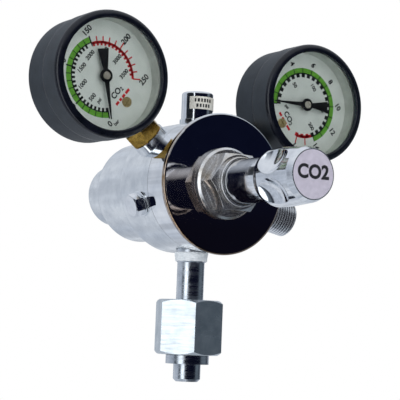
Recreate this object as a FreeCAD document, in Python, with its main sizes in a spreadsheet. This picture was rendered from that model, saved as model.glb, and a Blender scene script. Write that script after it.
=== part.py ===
import FreeCAD, Part
import math
import os
import Sketcher

# Carbon dioxide cylinder regulator.  Millimetres, +Z up.
# Origin: on the inlet stem's axis, at the shoulder its nipple starts from, where a cylinder valve seats.
# The adjusting knob points along -Y, the valve body runs along +Y, the inlet stem hangs along -Z.
# The gauge at -X reads the high pressure of the cylinder, the one at +X the low pressure of the outlet.
# Pieces are laid out from the centre of the polished flange's front face, on the main axis, and
# moved from there to the origin as they are kept.

Vector = FreeCAD.Vector
Rotation = FreeCAD.Rotation
Placement = FreeCAD.Placement

doc = FreeCAD.newDocument("CarbonDioxideRegulator")
sheet = doc.addObject("Spreadsheet::Sheet", "Sizes")

SIZES = {
    # bonnet and knob, along the main axis
    "flange_radius": 30.7,
    "flange_thick": 2.6,
    "flange_round": 0.9,
    "body_radius": 28.8,
    "bonnet_depth": 16.5,
    "front_wall": 4.5,
    "chamber_radius": 21.0,
    "clamp_radius": 24.2,
    "clamp_depth": 2.0,
    "nut_spigot_radius": 13.0,
    "nut_washer_radius": 15.5,
    "nut_washer_thick": 3.4,
    "nut_flats": 24.0,
    "nut_hex_length": 8.1,
    "nut_collar_radius": 10.7,
    "nut_collar_length": 2.2,
    "nut_base_chamfer": 1.0,
    "nut_collar_round": 0.6,
    "button_bore_radius": 11.2,
    "sleeve_radius": 9.5,
    "sleeve_wall": 1.3,
    "sleeve_clearance": 0.2,
    "sleeve_rear_y": 10.8,
    "bushing_post_radius": 7.9,
    "bushing_post_length": 24.0,
    "bushing_flange_thick": 3.0,
    "bushing_chamfer": 0.6,
    "screw_radius": 5.0,
    "screw_length": 53.0,
    "screw_chamfer": 0.8,
    "running_clearance": 0.05,
    "knob_rear_radius": 11.4,
    "knob_radius": 12.2,
    "knob_front_radius": 11.3,
    "knob_face_radius": 10.3,
    "knob_length": 25.3,
    "knob_front_y": 62.6,
    "knob_lip": 1.3,
    "knob_rear_taper": 3.0,
    "knob_straight_end": 8.5,
    "knob_front_taper": 3.0,
    "knob_round": 2.0,
    "dish_radius": 13.6,
    "dish_centre_radius": 22.4,
    "dish_from_rear": 11.5,
    "dish_turn": 4.0,
    "dish_spread": 35.0,
    "label_thick": 0.3,
    "label_radius": 9.9,
    "label_clearance": 0.05,
    "button_radius": 10.9,
    "button_thick": 3.0,
    "button_nose": 1.2,
    "spring_coil_radius": 8.2,
    "spring_wire_radius": 1.0,
    "spring_turns": 3.0,
    "spring_nose_clearance": 0.4,
    "plate_radius": 16.0,
    "plate_thick": 3.0,
    "plate_boss_radius": 6.2,
    "plate_boss": 1.6,
    "ring_bore_radius": 17.0,
    "diaphragm_radius": 24.0,
    "diaphragm_thick": 0.8,
    # valve body
    "body_rear_y": 72.9,
    "body_step_y": 40.4,
    "body_slope": 1.4,
    "body_small_radius": 22.9,
    "body_rear_round": 2.6,
    "body_step_round": 1.2,
    "low_chamber_radius": 17.0,
    "low_chamber_depth": 9.7,
    "pin_passage_radius": 2.0,
    "nozzle_radius": 5.0,
    "nozzle_y": 30.0,
    "high_chamber_radius": 10.0,
    "high_chamber_y": 42.0,
    "cap_spigot_radius": 11.0,
    "cap_spigot_length": 10.9,
    "cap_radius": 14.5,
    "cap_length": 23.5,
    "cap_round": 2.2,
    "cap_bore_radius": 6.5,
    "cap_pin_hole_radius": 1.6,
    "cap_pin_hole_pitch": 9.0,
    "cap_pin_hole_depth": 4.0,
    "port_y": 24.3,
    "port_bottom": 19.0,
    "port_thread_radius": 6.58,
    "boss_foot": 22.0,
    "gauge_boss_radius": 7.7,
    "gauge_boss_top": 32.3,
    "safety_boss_radius": 7.6,
    "safety_boss_top": 29.8,
    "outlet_boss_radius": 7.7,
    "outlet_boss_top": 30.2,
    "plug_thread_radius": 4.0,
    "plug_boss_radius": 5.8,
    "plug_boss_top": 29.3,
    "drill_radius": 1.2,
    "drill_circle": 20.5,
    "drill_end_y": 46.5,
    "crossing_radius": 1.0,
    "crossing_y": 44.0,
    "crossing_overrun": 0.4,
    "low_drill_depth": 5.0,
    # seat, poppet and rear cap
    "nozzle_length": 12.0,
    "nozzle_head_radius": 7.0,
    "nozzle_head_thick": 2.0,
    "nozzle_lip": 0.8,
    "nozzle_lip_crest": 0.5,
    "nozzle_lip_foot": 1.4,
    "nozzle_bore_radius": 1.6,
    "poppet_pin_radius": 1.0,
    "poppet_head_radius": 5.0,
    "poppet_head_thick": 5.0,
    "poppet_guide_radius": 2.4,
    "poppet_guide_length": 14.0,
    "poppet_coil_radius": 3.6,
    "poppet_wire_radius": 0.5,
    "poppet_spring_length": 24.0,
    "poppet_spring_turns": 7.0,
    # inlet
    "stem_radius": 6.0,
    "stem_bore_radius": 3.0,
    "stem_spigot_end": 33.0,
    "stem_spigot_taper": 0.6,
    "stem_collar_top": 74.2,
    "stem_collar_radius": 9.5,
    "stem_collar_thick": 3.8,
    "stem_end": 85.7,
    "stem_chamfer": 1.2,
    "tape_thick": 0.45,
    "tape_top": 29.1,
    "union_nut_flats": 27.0,
    "union_nut_length": 24.0,
    "union_nut_top": 50.0,
    "union_nut_thread_radius": 9.74,
    "union_nut_shoulder": 4.0,
    "union_nut_turn": -8.0,
    "swivel_clearance": 0.15,
    "slip_washer_thick": 1.0,
    "filter_thick": 3.0,
    "filter_recess": 0.5,
    # outlet, plug and safety valve
    "outlet_angle": -11.5,
    "outlet_thread_radius": 8.33,
    "outlet_thread_pitch": 1.337,
    "outlet_thread_depth": 0.8,
    "outlet_thread_run_in": 0.9,
    "outlet_shank_radius": 7.4,
    "outlet_shank_end": 36.5,
    "outlet_end": 52.5,
    "outlet_bore_radius": 4.0,
    "outlet_chamfer": 1.0,
    "outlet_mouth_radius": 5.5,
    "outlet_mouth_depth": 2.5,
    "plug_angle": 199.0,
    "plug_flats": 9.0,
    "plug_hex_length": 4.6,
    "plug_hole_radius": 1.2,
    "burst_disc_radius": 2.6,
    "burst_disc_thick": 0.4,
    "safety_radius": 7.0,
    "safety_top": 42.2,
    "safety_round": 1.1,
    "safety_bore_radius": 4.5,
    "safety_seat": 24.0,
    "safety_inlet_radius": 1.5,
    "safety_poppet_radius": 3.6,
    "safety_poppet_thick": 2.0,
    "safety_stem_radius": 1.3,
    "safety_stem_length": 10.5,
    "safety_stem_clearance": 0.3,
    "safety_cap_thick": 3.0,
    "safety_cap_recess": 0.8,
    "safety_coil_radius": 2.7,
    "safety_wire_radius": 0.4,
    "safety_spring_turns": 6.0,
    "safety_band_low": 34.2,
    "safety_band_high": 39.8,
    "safety_band_thick": 0.2,
    "safety_band_start": 209.0,
    "safety_band_angle": 148.0,
    # gauges, in the gauge's own upright frame
    "gauge_reach": 67.7,
    "gauge_front_y": 6.3,
    "gauge_tilt": 51.6,
    "bezel_radius": 27.2,
    "bezel_depth": 12.7,
    "bezel_opening": 23.7,
    "bezel_lip": 2.0,
    "bezel_round": 2.4,
    "bezel_inner_round": 0.7,
    "thread_fit_radius": 25.5,
    "lens_thick": 1.8,
    "dial_front": 10.1,
    "dial_thick": 0.6,
    "dial_radius": 25.3,
    "dial_hole_radius": 1.4,
    "spacer_bore_radius": 24.3,
    "case_front": 13.1,
    "case_back": 27.2,
    "case_radius": 26.9,
    "case_wall": 1.3,
    "case_round": 1.6,
    "stem_offset": 18.0,
    "socket_neck_radius": 5.0,
    "socket_hex_flats": 14.0,
    "socket_hex_start": 28.4,
    "socket_hex_end": 35.4,
    "socket_end": 48.6,
    "socket_block_top": 12.0,
    "socket_block_bottom": 22.6,
    "socket_block_width": 13.0,
    "socket_block_front": 12.5,
    "socket_block_depth": 8.0,
    "socket_bore_radius": 1.5,
    "socket_bore_top": 18.0,
    "socket_neck_clearance": 0.2,
    "dial_screw_z": 15.4,
    "dial_screw_head_radius": 2.2,
    "dial_screw_head": 0.9,
    "dial_screw_radius": 1.0,
    "dial_screw_length": 6.0,
    "dial_screw_round": 0.35,
    "dial_screw_slot": 0.5,
    "dial_screw_slot_depth": 0.4,
    "tube_inner_radius": 17.2,
    "tube_outer_radius": 20.2,
    "tube_front": 14.0,
    "tube_back": 20.0,
    "tube_wall": 0.4,
    "tube_end_angle": 204.0,
    "tube_sweep": 276.0,
    "plate_front_y": 11.7,
    "movement_plate_thick": 0.8,
    "movement_back_y": 20.5,
    "movement_half_width": 5.5,
    "movement_top": 5.0,
    "movement_bottom": 14.0,
    "pillar_radius": 0.9,
    "pillar_x": 4.2,
    "pillar_z": 3.6,
    "arbor_radius": 0.6,
    "gear_module": 0.25,
    "pinion_teeth": 10.0,
    "sector_teeth": 54.0,
    "gear_thick": 1.6,
    "gear_y": 15.5,
    "sector_rest_angle": 64.0,
    "sector_half_span": 34.0,
    "tail_angle": 150.0,
    "tail_radius": 5.0,
    "tail_width": 2.0,
    "tail_eye_radius": 1.2,
    "stud_radius": 0.5,
    "stud_end": 0.3,
    "link_length": 12.5,
    "link_angle": 205.5,
    "link_y": 17.5,
    "link_thick": 0.6,
    "link_width": 1.2,
    "link_eye_radius": 1.1,
    "link_hole_radius": 0.55,
    "pointer_y": 6.8,
    "pointer_thick": 0.5,
    "pointer_tip": 18.5,
    "pointer_tail": 11.5,
    "pointer_tip_half": 0.15,
    "pointer_root_half": 1.0,
    "pointer_tail_half": 2.6,
    "pointer_hub_radius": 2.9,
    "pointer_hub_overlap": 0.3,
    "pointer_cap_radius": 1.7,
    "pointer_cap_thick": 0.6,
    "pointer_cap_round": 0.3,
    "high_pointer_rest": -131.0,
    "low_pointer_rest": -128.0,
}

for row, (alias, number) in enumerate(SIZES.items(), start=1):
    sheet.set(f"A{row}", alias)
    sheet.set(f"B{row}", str(number))
    sheet.setAlias(f"B{row}", alias)
doc.recompute()


class Size:
    """A length or angle that carries its value and the spreadsheet expression that gives it."""

    def __init__(self, value, text):
        self.value = value
        self.text = text

    def joined(self, sign, other, value):
        return Size(value, f"({self.text} {sign} {as_size(other).text})")

    def __add__(self, other):
        return self.joined("+", other, self.value + as_size(other).value)

    def __radd__(self, other):
        return as_size(other) + self

    def __sub__(self, other):
        return self.joined("-", other, self.value - as_size(other).value)

    def __rsub__(self, other):
        return as_size(other) - self

    def __mul__(self, other):
        return self.joined("*", other, self.value * as_size(other).value)

    def __rmul__(self, other):
        return as_size(other) * self

    def __truediv__(self, other):
        return self.joined("/", other, self.value / as_size(other).value)

    def __neg__(self):
        return as_size(0) - self


def as_size(number):
    """A Size for a plain number, or the Size itself."""
    return number if isinstance(number, Size) else Size(float(number), repr(float(number)))


class Sheet:
    """Gives each spreadsheet alias as a Size: size.body_radius."""

    def __getattr__(self, alias):
        return Size(SIZES[alias], f"Sizes.{alias}")


size = Sheet()
pieces = []

REARWARD = Rotation(Vector(1, 0, 0), -90)
FORWARD = Rotation(Vector(1, 0, 0), 90)
DOWNWARD = Rotation(Vector(1, 0, 0), 180)
UPRIGHT = Rotation()
NOWHERE = Placement()

THROUGH = 60.0  # longer than any bore that runs out of a piece
OVERRUN = 1.0  # how far a cutter starts outside the piece it cuts
OVERLAP = 0.5  # how far the parts of one solid run into each other

# The thread groove: half its width in pitches, and how far it starts clear of the metal.
GROOVE_HALF_WIDTH = 0.42
GROOVE_LEAD = 0.25

# Proportions of the gear teeth: heights in modules, half widths in pitches.
TOOTH_TIP = 0.75
TOOTH_ROOT = 1.05
TIP_HALF_WIDTH = 0.10
ROOT_HALF_WIDTH = 0.30


def outward(angle):
    """The turn from +Z to the direction at this angle, counter-clockwise from +X seen from the front."""
    return Rotation(Vector(0, 1, 0), 90 - angle)


def at(x, y, z, turn=UPRIGHT):
    """A Placement at these coordinates, given as numbers or Sizes."""
    return Placement(Vector(as_size(x).value, as_size(y).value, as_size(z).value), turn)


def port(angle, start):
    """The Placement of a fitting whose own +Z runs outward from a distance off the main axis."""
    turn = outward(as_size(angle).value)
    foot = turn.multVec(Vector(0, 0, as_size(start).value))
    return Placement(foot + Vector(0, size.port_y.value, 0), turn)


def flange_to_inlet():
    """The move from the flange's centre, where pieces are laid out, to the inlet's seating shoulder."""
    return at(0, -size.port_y, size.stem_collar_top + size.stem_collar_thick)


def keep(thing, label, placement=NOWHERE):
    """Label a finished piece, place it and list it for export."""
    thing.Label = label
    thing.Placement = flange_to_inlet().multiply(placement)
    pieces.append(thing)
    return thing


def bind(thing, **values):
    """Bind each property of a document object to a Size."""
    for name, value in values.items():
        thing.setExpression(name, as_size(value).text)


def origin_plane(body, role):
    """One of the body's own origin planes, such as XZ_Plane."""
    return next(item for item in body.Origin.OriginFeatures if item.Role == role)


def sketch_on(body, role):
    """A sketch on one of the body's own origin planes."""
    sketch = body.newObject("Sketcher::SketchObject", "Profile")
    sketch.AttachmentSupport = [(origin_plane(body, role), "")]
    sketch.MapMode = "FlatFace"
    return sketch


def pin_point(sketch, line, distance, kind):
    """Fix one coordinate of a line's first point, measured from the sketch's origin."""
    if abs(distance.value) < 1e-9:
        axis = -2 if kind == "DistanceX" else -1
        sketch.addConstraint(Sketcher.Constraint("PointOnObject", line, 1, axis))
        return
    number = sketch.addConstraint(Sketcher.Constraint(kind, -1, 1, line, 1, distance.value))
    sketch.setExpression(f"Constraints[{number}]", distance.text)


def add_outline(sketch, corners):
    """Add a closed outline of straight lines whose corners are all dimensioned."""
    corners = [(as_size(x), as_size(y)) for x, y in corners]
    points = [Vector(x.value, y.value, 0) for x, y in corners]
    first = sketch.GeometryCount
    count = len(points)
    for number in range(count):
        sketch.addGeometry(Part.LineSegment(points[number], points[(number + 1) % count]), False)
    for number in range(count):
        following = first + (number + 1) % count
        sketch.addConstraint(Sketcher.Constraint("Coincident", first + number, 2, following, 1))
    for number, (x, y) in enumerate(corners):
        pin_point(sketch, first + number, x, "DistanceX")
        pin_point(sketch, first + number, y, "DistanceY")


def turned(corners, name="Turned", sweep=360, hole=None):
    """A PartDesign body turned about its own Z from an outline of (radius, height) corners."""
    body = doc.addObject("PartDesign::Body", name)
    sketch = sketch_on(body, "XZ_Plane")
    add_outline(sketch, corners)
    if hole:
        add_outline(sketch, hole)
    turn = body.newObject("PartDesign::Revolution", "Turn")
    turn.Profile = sketch
    turn.ReferenceAxis = (sketch, ["V_Axis"])
    bind(turn, Angle=sweep)
    sketch.Visibility = False
    doc.recompute()
    return body


def rounded(body, rings, radius):
    """Round the body's edges at these rings."""
    fillet = body.newObject("PartDesign::Fillet", "Rounding")
    fillet.Base = (fillet.BaseFeature, ring_edges_of(fillet.BaseFeature, rings))
    bind(fillet, Radius=radius)
    doc.recompute()
    return body


def ring_edges_of(feature, rings):
    """The names of a feature's circular edges that match these (radius, height) rings."""
    names = set()
    for number, edge in enumerate(feature.Shape.Edges, start=1):
        if not isinstance(edge.Curve, Part.Circle):
            continue
        for radius, height in rings:
            same_radius = abs(edge.Curve.Radius - as_size(radius).value) < 1e-3
            if same_radius and abs(edge.Curve.Center.z - as_size(height).value) < 1e-3:
                names.add(f"Edge{number}")
    return sorted(names)


def chamfered(body, rings, width):
    """Chamfer the body's edges at these rings."""
    chamfer = body.newObject("PartDesign::Chamfer", "Bevel")
    chamfer.Base = (chamfer.BaseFeature, ring_edges_of(chamfer.BaseFeature, rings))
    bind(chamfer, Size=width)
    doc.recompute()
    return body


def plate(corners, thickness, name="Plate"):
    """A PartDesign body padded along its own Z from an outline of (x, y) corners."""
    body = doc.addObject("PartDesign::Body", name)
    sketch = sketch_on(body, "XY_Plane")
    add_outline(sketch, corners)
    pad = body.newObject("PartDesign::Pad", "Pad")
    pad.Profile = sketch
    bind(pad, Length=thickness)
    sketch.Visibility = False
    doc.recompute()
    return body


def coil(coil_radius, wire_radius, pitch, height, name="Coil"):
    """A PartDesign body: a helical spring about its own Z, whose wire stays between 0 and height."""
    body = doc.addObject("PartDesign::Body", name)
    sketch = sketch_on(body, "XZ_Plane")
    centre = Vector(as_size(coil_radius).value, as_size(wire_radius).value, 0)
    sketch.addGeometry(Part.Circle(centre, Vector(0, 0, 1), as_size(wire_radius).value), False)
    across = sketch.addConstraint(Sketcher.Constraint("DistanceX", -1, 1, 0, 3, centre.x))
    along = sketch.addConstraint(Sketcher.Constraint("DistanceY", -1, 1, 0, 3, centre.y))
    round_wire = sketch.addConstraint(Sketcher.Constraint("Radius", 0, centre.y))
    sketch.setExpression(f"Constraints[{across}]", as_size(coil_radius).text)
    sketch.setExpression(f"Constraints[{along}]", as_size(wire_radius).text)
    sketch.setExpression(f"Constraints[{round_wire}]", as_size(wire_radius).text)
    helix = body.newObject("PartDesign::AdditiveHelix", "Helix")
    helix.Profile = sketch
    helix.ReferenceAxis = (sketch, ["V_Axis"])
    helix.Mode = 0
    helix.Pitch = as_size(pitch).value
    helix.Height = as_size(height - 2 * wire_radius).value
    bind(helix, Pitch=pitch, Height=height - 2 * wire_radius)
    sketch.Visibility = False
    doc.recompute()
    return body


def primitive(kind, placement=NOWHERE, **values):
    """A Part primitive with its sizes bound to the sheet."""
    thing = doc.addObject(f"Part::{kind}", kind)
    bind(thing, **values)
    thing.Placement = placement
    return thing


def cylinder(radius, height, placement=NOWHERE):
    """A Part::Cylinder along its own Z."""
    return primitive("Cylinder", placement, Radius=radius, Height=height)


def box(length, width, height, placement=NOWHERE):
    """A Part::Box that starts at its own corner."""
    return primitive("Box", placement, Length=length, Width=width, Height=height)


def hexagon(flats, height, placement=NOWHERE):
    """A Part::Prism with six sides, given its width across flats."""
    prism = doc.addObject("Part::Prism", "Hexagon")
    prism.Polygon = 6
    bind(prism, Circumradius=flats / math.sqrt(3), Height=height)
    prism.Placement = placement
    return prism


def fused(*things):
    """The union of several objects."""
    result = doc.addObject("Part::MultiFuse", "Fused")
    result.Shapes = list(things)
    result.Refine = True
    doc.recompute()
    return result


def cut(base, *tools):
    """An object with the tools taken out of it."""
    result = doc.addObject("Part::Cut", "Cut")
    result.Base = base
    result.Tool = tools[0] if len(tools) == 1 else fused(*tools)
    result.Refine = True
    doc.recompute()
    return result


def common(first, second):
    """What two objects share."""
    result = doc.addObject("Part::Common", "Common")
    result.Base = first
    result.Tool = second
    result.Refine = True
    doc.recompute()
    return result


def disc(radius, thickness, bore=0):
    """Corners of a plain disc or washer that starts at height 0."""
    return [(bore, 0), (radius, 0), (radius, thickness), (bore, thickness)]


def chamfered_hexagon(flats, height, both_ends=True):
    """A hexagon with its corners turned down at 30 degrees, as on a nut."""
    corner = flats / math.sqrt(3)
    bite = corner - 0.485 * flats
    drop = 0.577 * bite
    low = [(0, 0), (corner - bite, 0), (corner, drop)] if both_ends else [(0, 0), (corner, 0)]
    blank = turned(low + [(corner, height - drop), (corner - bite, height), (0, height)], "Blank")
    return common(hexagon(flats, height), blank)


# ---- bonnet, knob and adjusting screw -------------------------------------------------------


def build_bonnet():
    """The polished flange and the cup behind it that holds the main spring."""
    rim = size.flange_thick
    corners = [
        (size.nut_spigot_radius, 0),
        (size.flange_radius, 0),
        (size.flange_radius, rim),
        (size.body_radius, rim),
        (size.body_radius, size.bonnet_depth),
        (size.clamp_radius, size.bonnet_depth),
        (size.clamp_radius, size.bonnet_depth - size.clamp_depth),
        (size.chamber_radius, size.bonnet_depth - size.clamp_depth),
        (size.chamber_radius, size.front_wall),
        (size.nut_spigot_radius, size.front_wall),
    ]
    body = turned(corners, "Bonnet")
    rounded(body, [(size.flange_radius, 0), (size.flange_radius, rim)], size.flange_round)
    keep(body, "bonnet", at(0, 0, 0, REARWARD))


def nut_front():
    """Distance of the bonnet nut's front end ahead of the flange."""
    return size.nut_washer_thick + size.nut_hex_length + size.nut_collar_length


def build_bonnet_nut():
    """The hexagon nut with its round base; its bore guides the sleeve and seats the bushing."""
    hex_end = size.nut_washer_thick + size.nut_hex_length
    base = turned(disc(size.nut_washer_radius, size.nut_washer_thick), "NutBase")
    chamfered(base, [(size.nut_washer_radius, size.nut_washer_thick)], size.nut_base_chamfer)
    spigot = cylinder(size.nut_spigot_radius, size.front_wall, at(0, 0, -size.front_wall))
    hexed = chamfered_hexagon(size.nut_flats, hex_end, both_ends=False)
    collar = turned(disc(size.nut_collar_radius, nut_front()), "NutCollar")
    rounded(collar, [(size.nut_collar_radius, nut_front())], size.nut_collar_round)
    sleeve_bore = cylinder(size.sleeve_radius + size.sleeve_clearance, nut_front() + OVERRUN)
    seat = size.front_wall + size.button_thick + size.bushing_flange_thick
    wide_bore = cylinder(size.button_bore_radius, seat, at(0, 0, -size.front_wall))
    nut = cut(fused(base, spigot, hexed, collar), sleeve_bore, wide_bore)
    keep(nut, "bonnet_nut", at(0, 0, 0, FORWARD))


def build_screw_bushing():
    """The fixed bushing inside the sleeve, tapped for the adjusting screw."""
    flange = size.bushing_flange_thick
    bore = size.screw_radius + size.running_clearance
    corners = [
        (bore, 0),
        (size.button_bore_radius, 0),
        (size.button_bore_radius, flange),
        (size.bushing_post_radius, flange),
        (size.bushing_post_radius, flange + size.bushing_post_length),
        (bore, flange + size.bushing_post_length),
    ]
    body = turned(corners, "Bushing")
    chamfered(body, [(size.bushing_post_radius, flange + size.bushing_post_length)], size.bushing_chamfer)
    keep(body, "screw_bushing", at(0, -size.button_thick, 0, FORWARD))


def knob_rear():
    """Distance of the knob's rear end ahead of the flange."""
    return size.knob_front_y - size.knob_length


def build_adjusting_screw():
    """The screw that turns with the knob and pushes the spring button."""
    body = turned(disc(size.screw_radius, size.screw_length), "Screw")
    chamfered(body, [(size.screw_radius, 0)], size.screw_chamfer)
    keep(body, "adjusting_screw", at(0, -size.button_thick, 0, FORWARD))


def build_knob_sleeve():
    """The bright tube behind the knob, which runs into the bonnet nut."""
    inner = size.sleeve_radius - size.sleeve_wall
    length = knob_rear() + size.knob_lip - size.sleeve_rear_y
    body = turned(disc(size.sleeve_radius, length, inner), "Sleeve")
    keep(body, "knob_sleeve", at(0, -size.sleeve_rear_y, 0, FORWARD))


def build_knob():
    """The round knob with two pairs of thumb dishes; its rear recess holds the sleeve."""
    body_end = size.knob_length - size.knob_front_taper
    screw_end = size.screw_length + size.button_thick - knob_rear()
    recess = size.label_thick
    corners = [
        (size.screw_radius, size.knob_lip),
        (size.sleeve_radius, size.knob_lip),
        (size.sleeve_radius, 0),
        (size.knob_rear_radius, 0),
        (size.knob_radius, size.knob_rear_taper),
        (size.knob_radius, size.knob_straight_end),
        (size.knob_front_radius, body_end),
        (size.knob_face_radius, size.knob_length),
        (size.label_radius, size.knob_length),
        (size.label_radius, size.knob_length - recess),
        (0, size.knob_length - recess),
        (0, screw_end),
        (size.screw_radius, screw_end),
    ]
    blank = turned(corners, "KnobBlank")
    soft = [(size.knob_radius, size.knob_rear_taper), (size.knob_front_radius, body_end)]
    rounded(blank, soft, size.knob_round)
    dishes = []
    for side in (0, 180):
        for lean in (-size.dish_spread.value, size.dish_spread.value):
            angle = math.radians(side + size.dish_turn.value + lean)
            ball = primitive("Sphere", Radius=size.dish_radius)
            bind(ball, **{
                "Placement.Base.x": size.dish_centre_radius * math.cos(angle),
                "Placement.Base.y": size.dish_centre_radius * math.sin(angle),
                "Placement.Base.z": size.dish_from_rear,
            })
            dishes.append(ball)
    keep(cut(blank, *dishes), "knob", at(0, -knob_rear(), 0, FORWARD))
    label = turned(disc(size.label_radius - size.label_clearance, size.label_thick), "Label")
    keep(label, "knob_label", at(0, size.label_thick - size.knob_front_y, 0, FORWARD))


def build_spring_parts():
    """The main spring between its button and the diaphragm plate, and the clamped diaphragm."""
    nose = size.spring_coil_radius - size.spring_wire_radius - size.spring_nose_clearance
    button = turned(
        [
            (0, 0),
            (size.button_radius, 0),
            (size.button_radius, size.button_thick),
            (nose, size.button_thick),
            (nose, size.button_thick + size.button_nose),
            (0, size.button_thick + size.button_nose),
        ],
        "Button",
    )
    keep(button, "spring_button", at(0, -size.button_thick, 0, REARWARD))
    plate_front = size.bonnet_depth - size.plate_thick
    wire = coil(
        size.spring_coil_radius,
        size.spring_wire_radius,
        (plate_front - 2 * size.spring_wire_radius) / size.spring_turns,
        plate_front,
        "MainSpring",
    )
    keep(wire, "main_spring", at(0, 0, 0, REARWARD))
    pad = turned(
        [
            (0, 0),
            (size.plate_boss_radius, 0),
            (size.plate_boss_radius, size.plate_boss),
            (size.plate_radius, size.plate_boss),
            (size.plate_radius, size.plate_boss + size.plate_thick),
            (0, size.plate_boss + size.plate_thick),
        ],
        "DiaphragmPlate",
    )
    keep(pad, "diaphragm_plate", at(0, plate_front - size.plate_boss, 0, REARWARD))
    ring = turned(disc(size.diaphragm_radius, size.clamp_depth, size.ring_bore_radius), "ClampRing")
    keep(ring, "diaphragm_ring", at(0, size.bonnet_depth - size.clamp_depth, 0, REARWARD))
    sheet_disc = turned(disc(size.diaphragm_radius, size.diaphragm_thick), "Diaphragm")
    keep(sheet_disc, "diaphragm", at(0, size.bonnet_depth, 0, REARWARD))


# ---- valve body ----------------------------------------------------------------------------

HIGH_GAUGE_ANGLE = 90 + SIZES["gauge_tilt"]
LOW_GAUGE_ANGLE = 90 - SIZES["gauge_tilt"]
SAFETY_ANGLE = 90.0
INLET_ANGLE = 270.0
HIGH_PORTS = (HIGH_GAUGE_ANGLE, SIZES["plug_angle"], INLET_ANGLE)
LOW_PORTS = (LOW_GAUGE_ANGLE, SAFETY_ANGLE, SIZES["outlet_angle"])


def high_port_drillings(angle):
    """The passage rearwards from a port's bottom, and the one that crosses it to the high chamber."""
    turn = outward(angle)
    port_end = Vector(0, size.port_y.value, 0) + turn.multVec(Vector(0, 0, size.drill_circle.value))
    along = cylinder(size.drill_radius, size.drill_end_y - size.port_y, Placement(port_end, REARWARD))
    start = size.high_chamber_radius - OVERRUN
    inside = Vector(0, size.crossing_y.value, 0) + turn.multVec(Vector(0, 0, start.value))
    reach = size.drill_circle + size.crossing_overrun - start
    return [along, cylinder(size.crossing_radius, reach, Placement(inside, turn))]


def build_valve_body():
    """The turned body: low pressure chamber in front, high pressure chamber behind, six ports."""
    front = size.bonnet_depth
    shell_corners = [
        (0, 0),
        (size.body_radius, 0),
        (size.body_radius, size.body_step_y - front),
        (size.body_small_radius, size.body_step_y + size.body_slope - front),
        (size.body_small_radius, size.body_rear_y - front),
        (0, size.body_rear_y - front),
    ]
    shell = turned(shell_corners, "BodyShell")
    rounded(shell, [(size.body_small_radius, size.body_rear_y - front)], size.body_rear_round)
    rounded(shell, [(size.body_radius, size.body_step_y - front)], size.body_step_round)
    shell.Placement = at(0, front, 0, REARWARD)
    cavity_corners = [
        (0, -OVERRUN),
        (size.clamp_radius, -OVERRUN),
        (size.clamp_radius, size.diaphragm_thick),
        (size.low_chamber_radius, size.diaphragm_thick),
        (size.low_chamber_radius, size.low_chamber_depth),
        (size.pin_passage_radius, size.low_chamber_depth),
        (size.pin_passage_radius, size.nozzle_y - front),
        (size.nozzle_radius, size.nozzle_y - front),
        (size.nozzle_radius, size.high_chamber_y - front),
        (size.high_chamber_radius, size.high_chamber_y - front),
        (size.high_chamber_radius, size.body_rear_y - size.cap_spigot_length - front),
        (size.cap_spigot_radius, size.body_rear_y - size.cap_spigot_length - front),
        (size.cap_spigot_radius, size.body_rear_y + OVERRUN - front),
        (0, size.body_rear_y + OVERRUN - front),
    ]
    cavity = turned(cavity_corners, "BodyCavity")
    cavity.Placement = at(0, front, 0, REARWARD)
    bosses = [
        cylinder(radius, top - size.boss_foot, port(angle, size.boss_foot))
        for angle, radius, top in (
            (HIGH_GAUGE_ANGLE, size.gauge_boss_radius, size.gauge_boss_top),
            (LOW_GAUGE_ANGLE, size.gauge_boss_radius, size.gauge_boss_top),
            (SAFETY_ANGLE, size.safety_boss_radius, size.safety_boss_top),
            (size.outlet_angle, size.outlet_boss_radius, size.outlet_boss_top),
            (size.plug_angle, size.plug_boss_radius, size.plug_boss_top),
        )
    ]
    tools = [cavity]
    for angle in HIGH_PORTS + LOW_PORTS:
        radius = size.plug_thread_radius if angle == SIZES["plug_angle"] else size.port_thread_radius
        tools.append(cylinder(radius, THROUGH, port(angle, size.port_bottom)))
    for angle in LOW_PORTS:
        foot = port(angle, size.port_bottom - size.low_drill_depth)
        tools.append(cylinder(size.drill_radius, size.low_drill_depth + OVERRUN, foot))
    for angle in HIGH_PORTS:
        tools += high_port_drillings(angle)
    keep(cut(fused(shell, *bosses), *tools), "valve_body")


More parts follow.
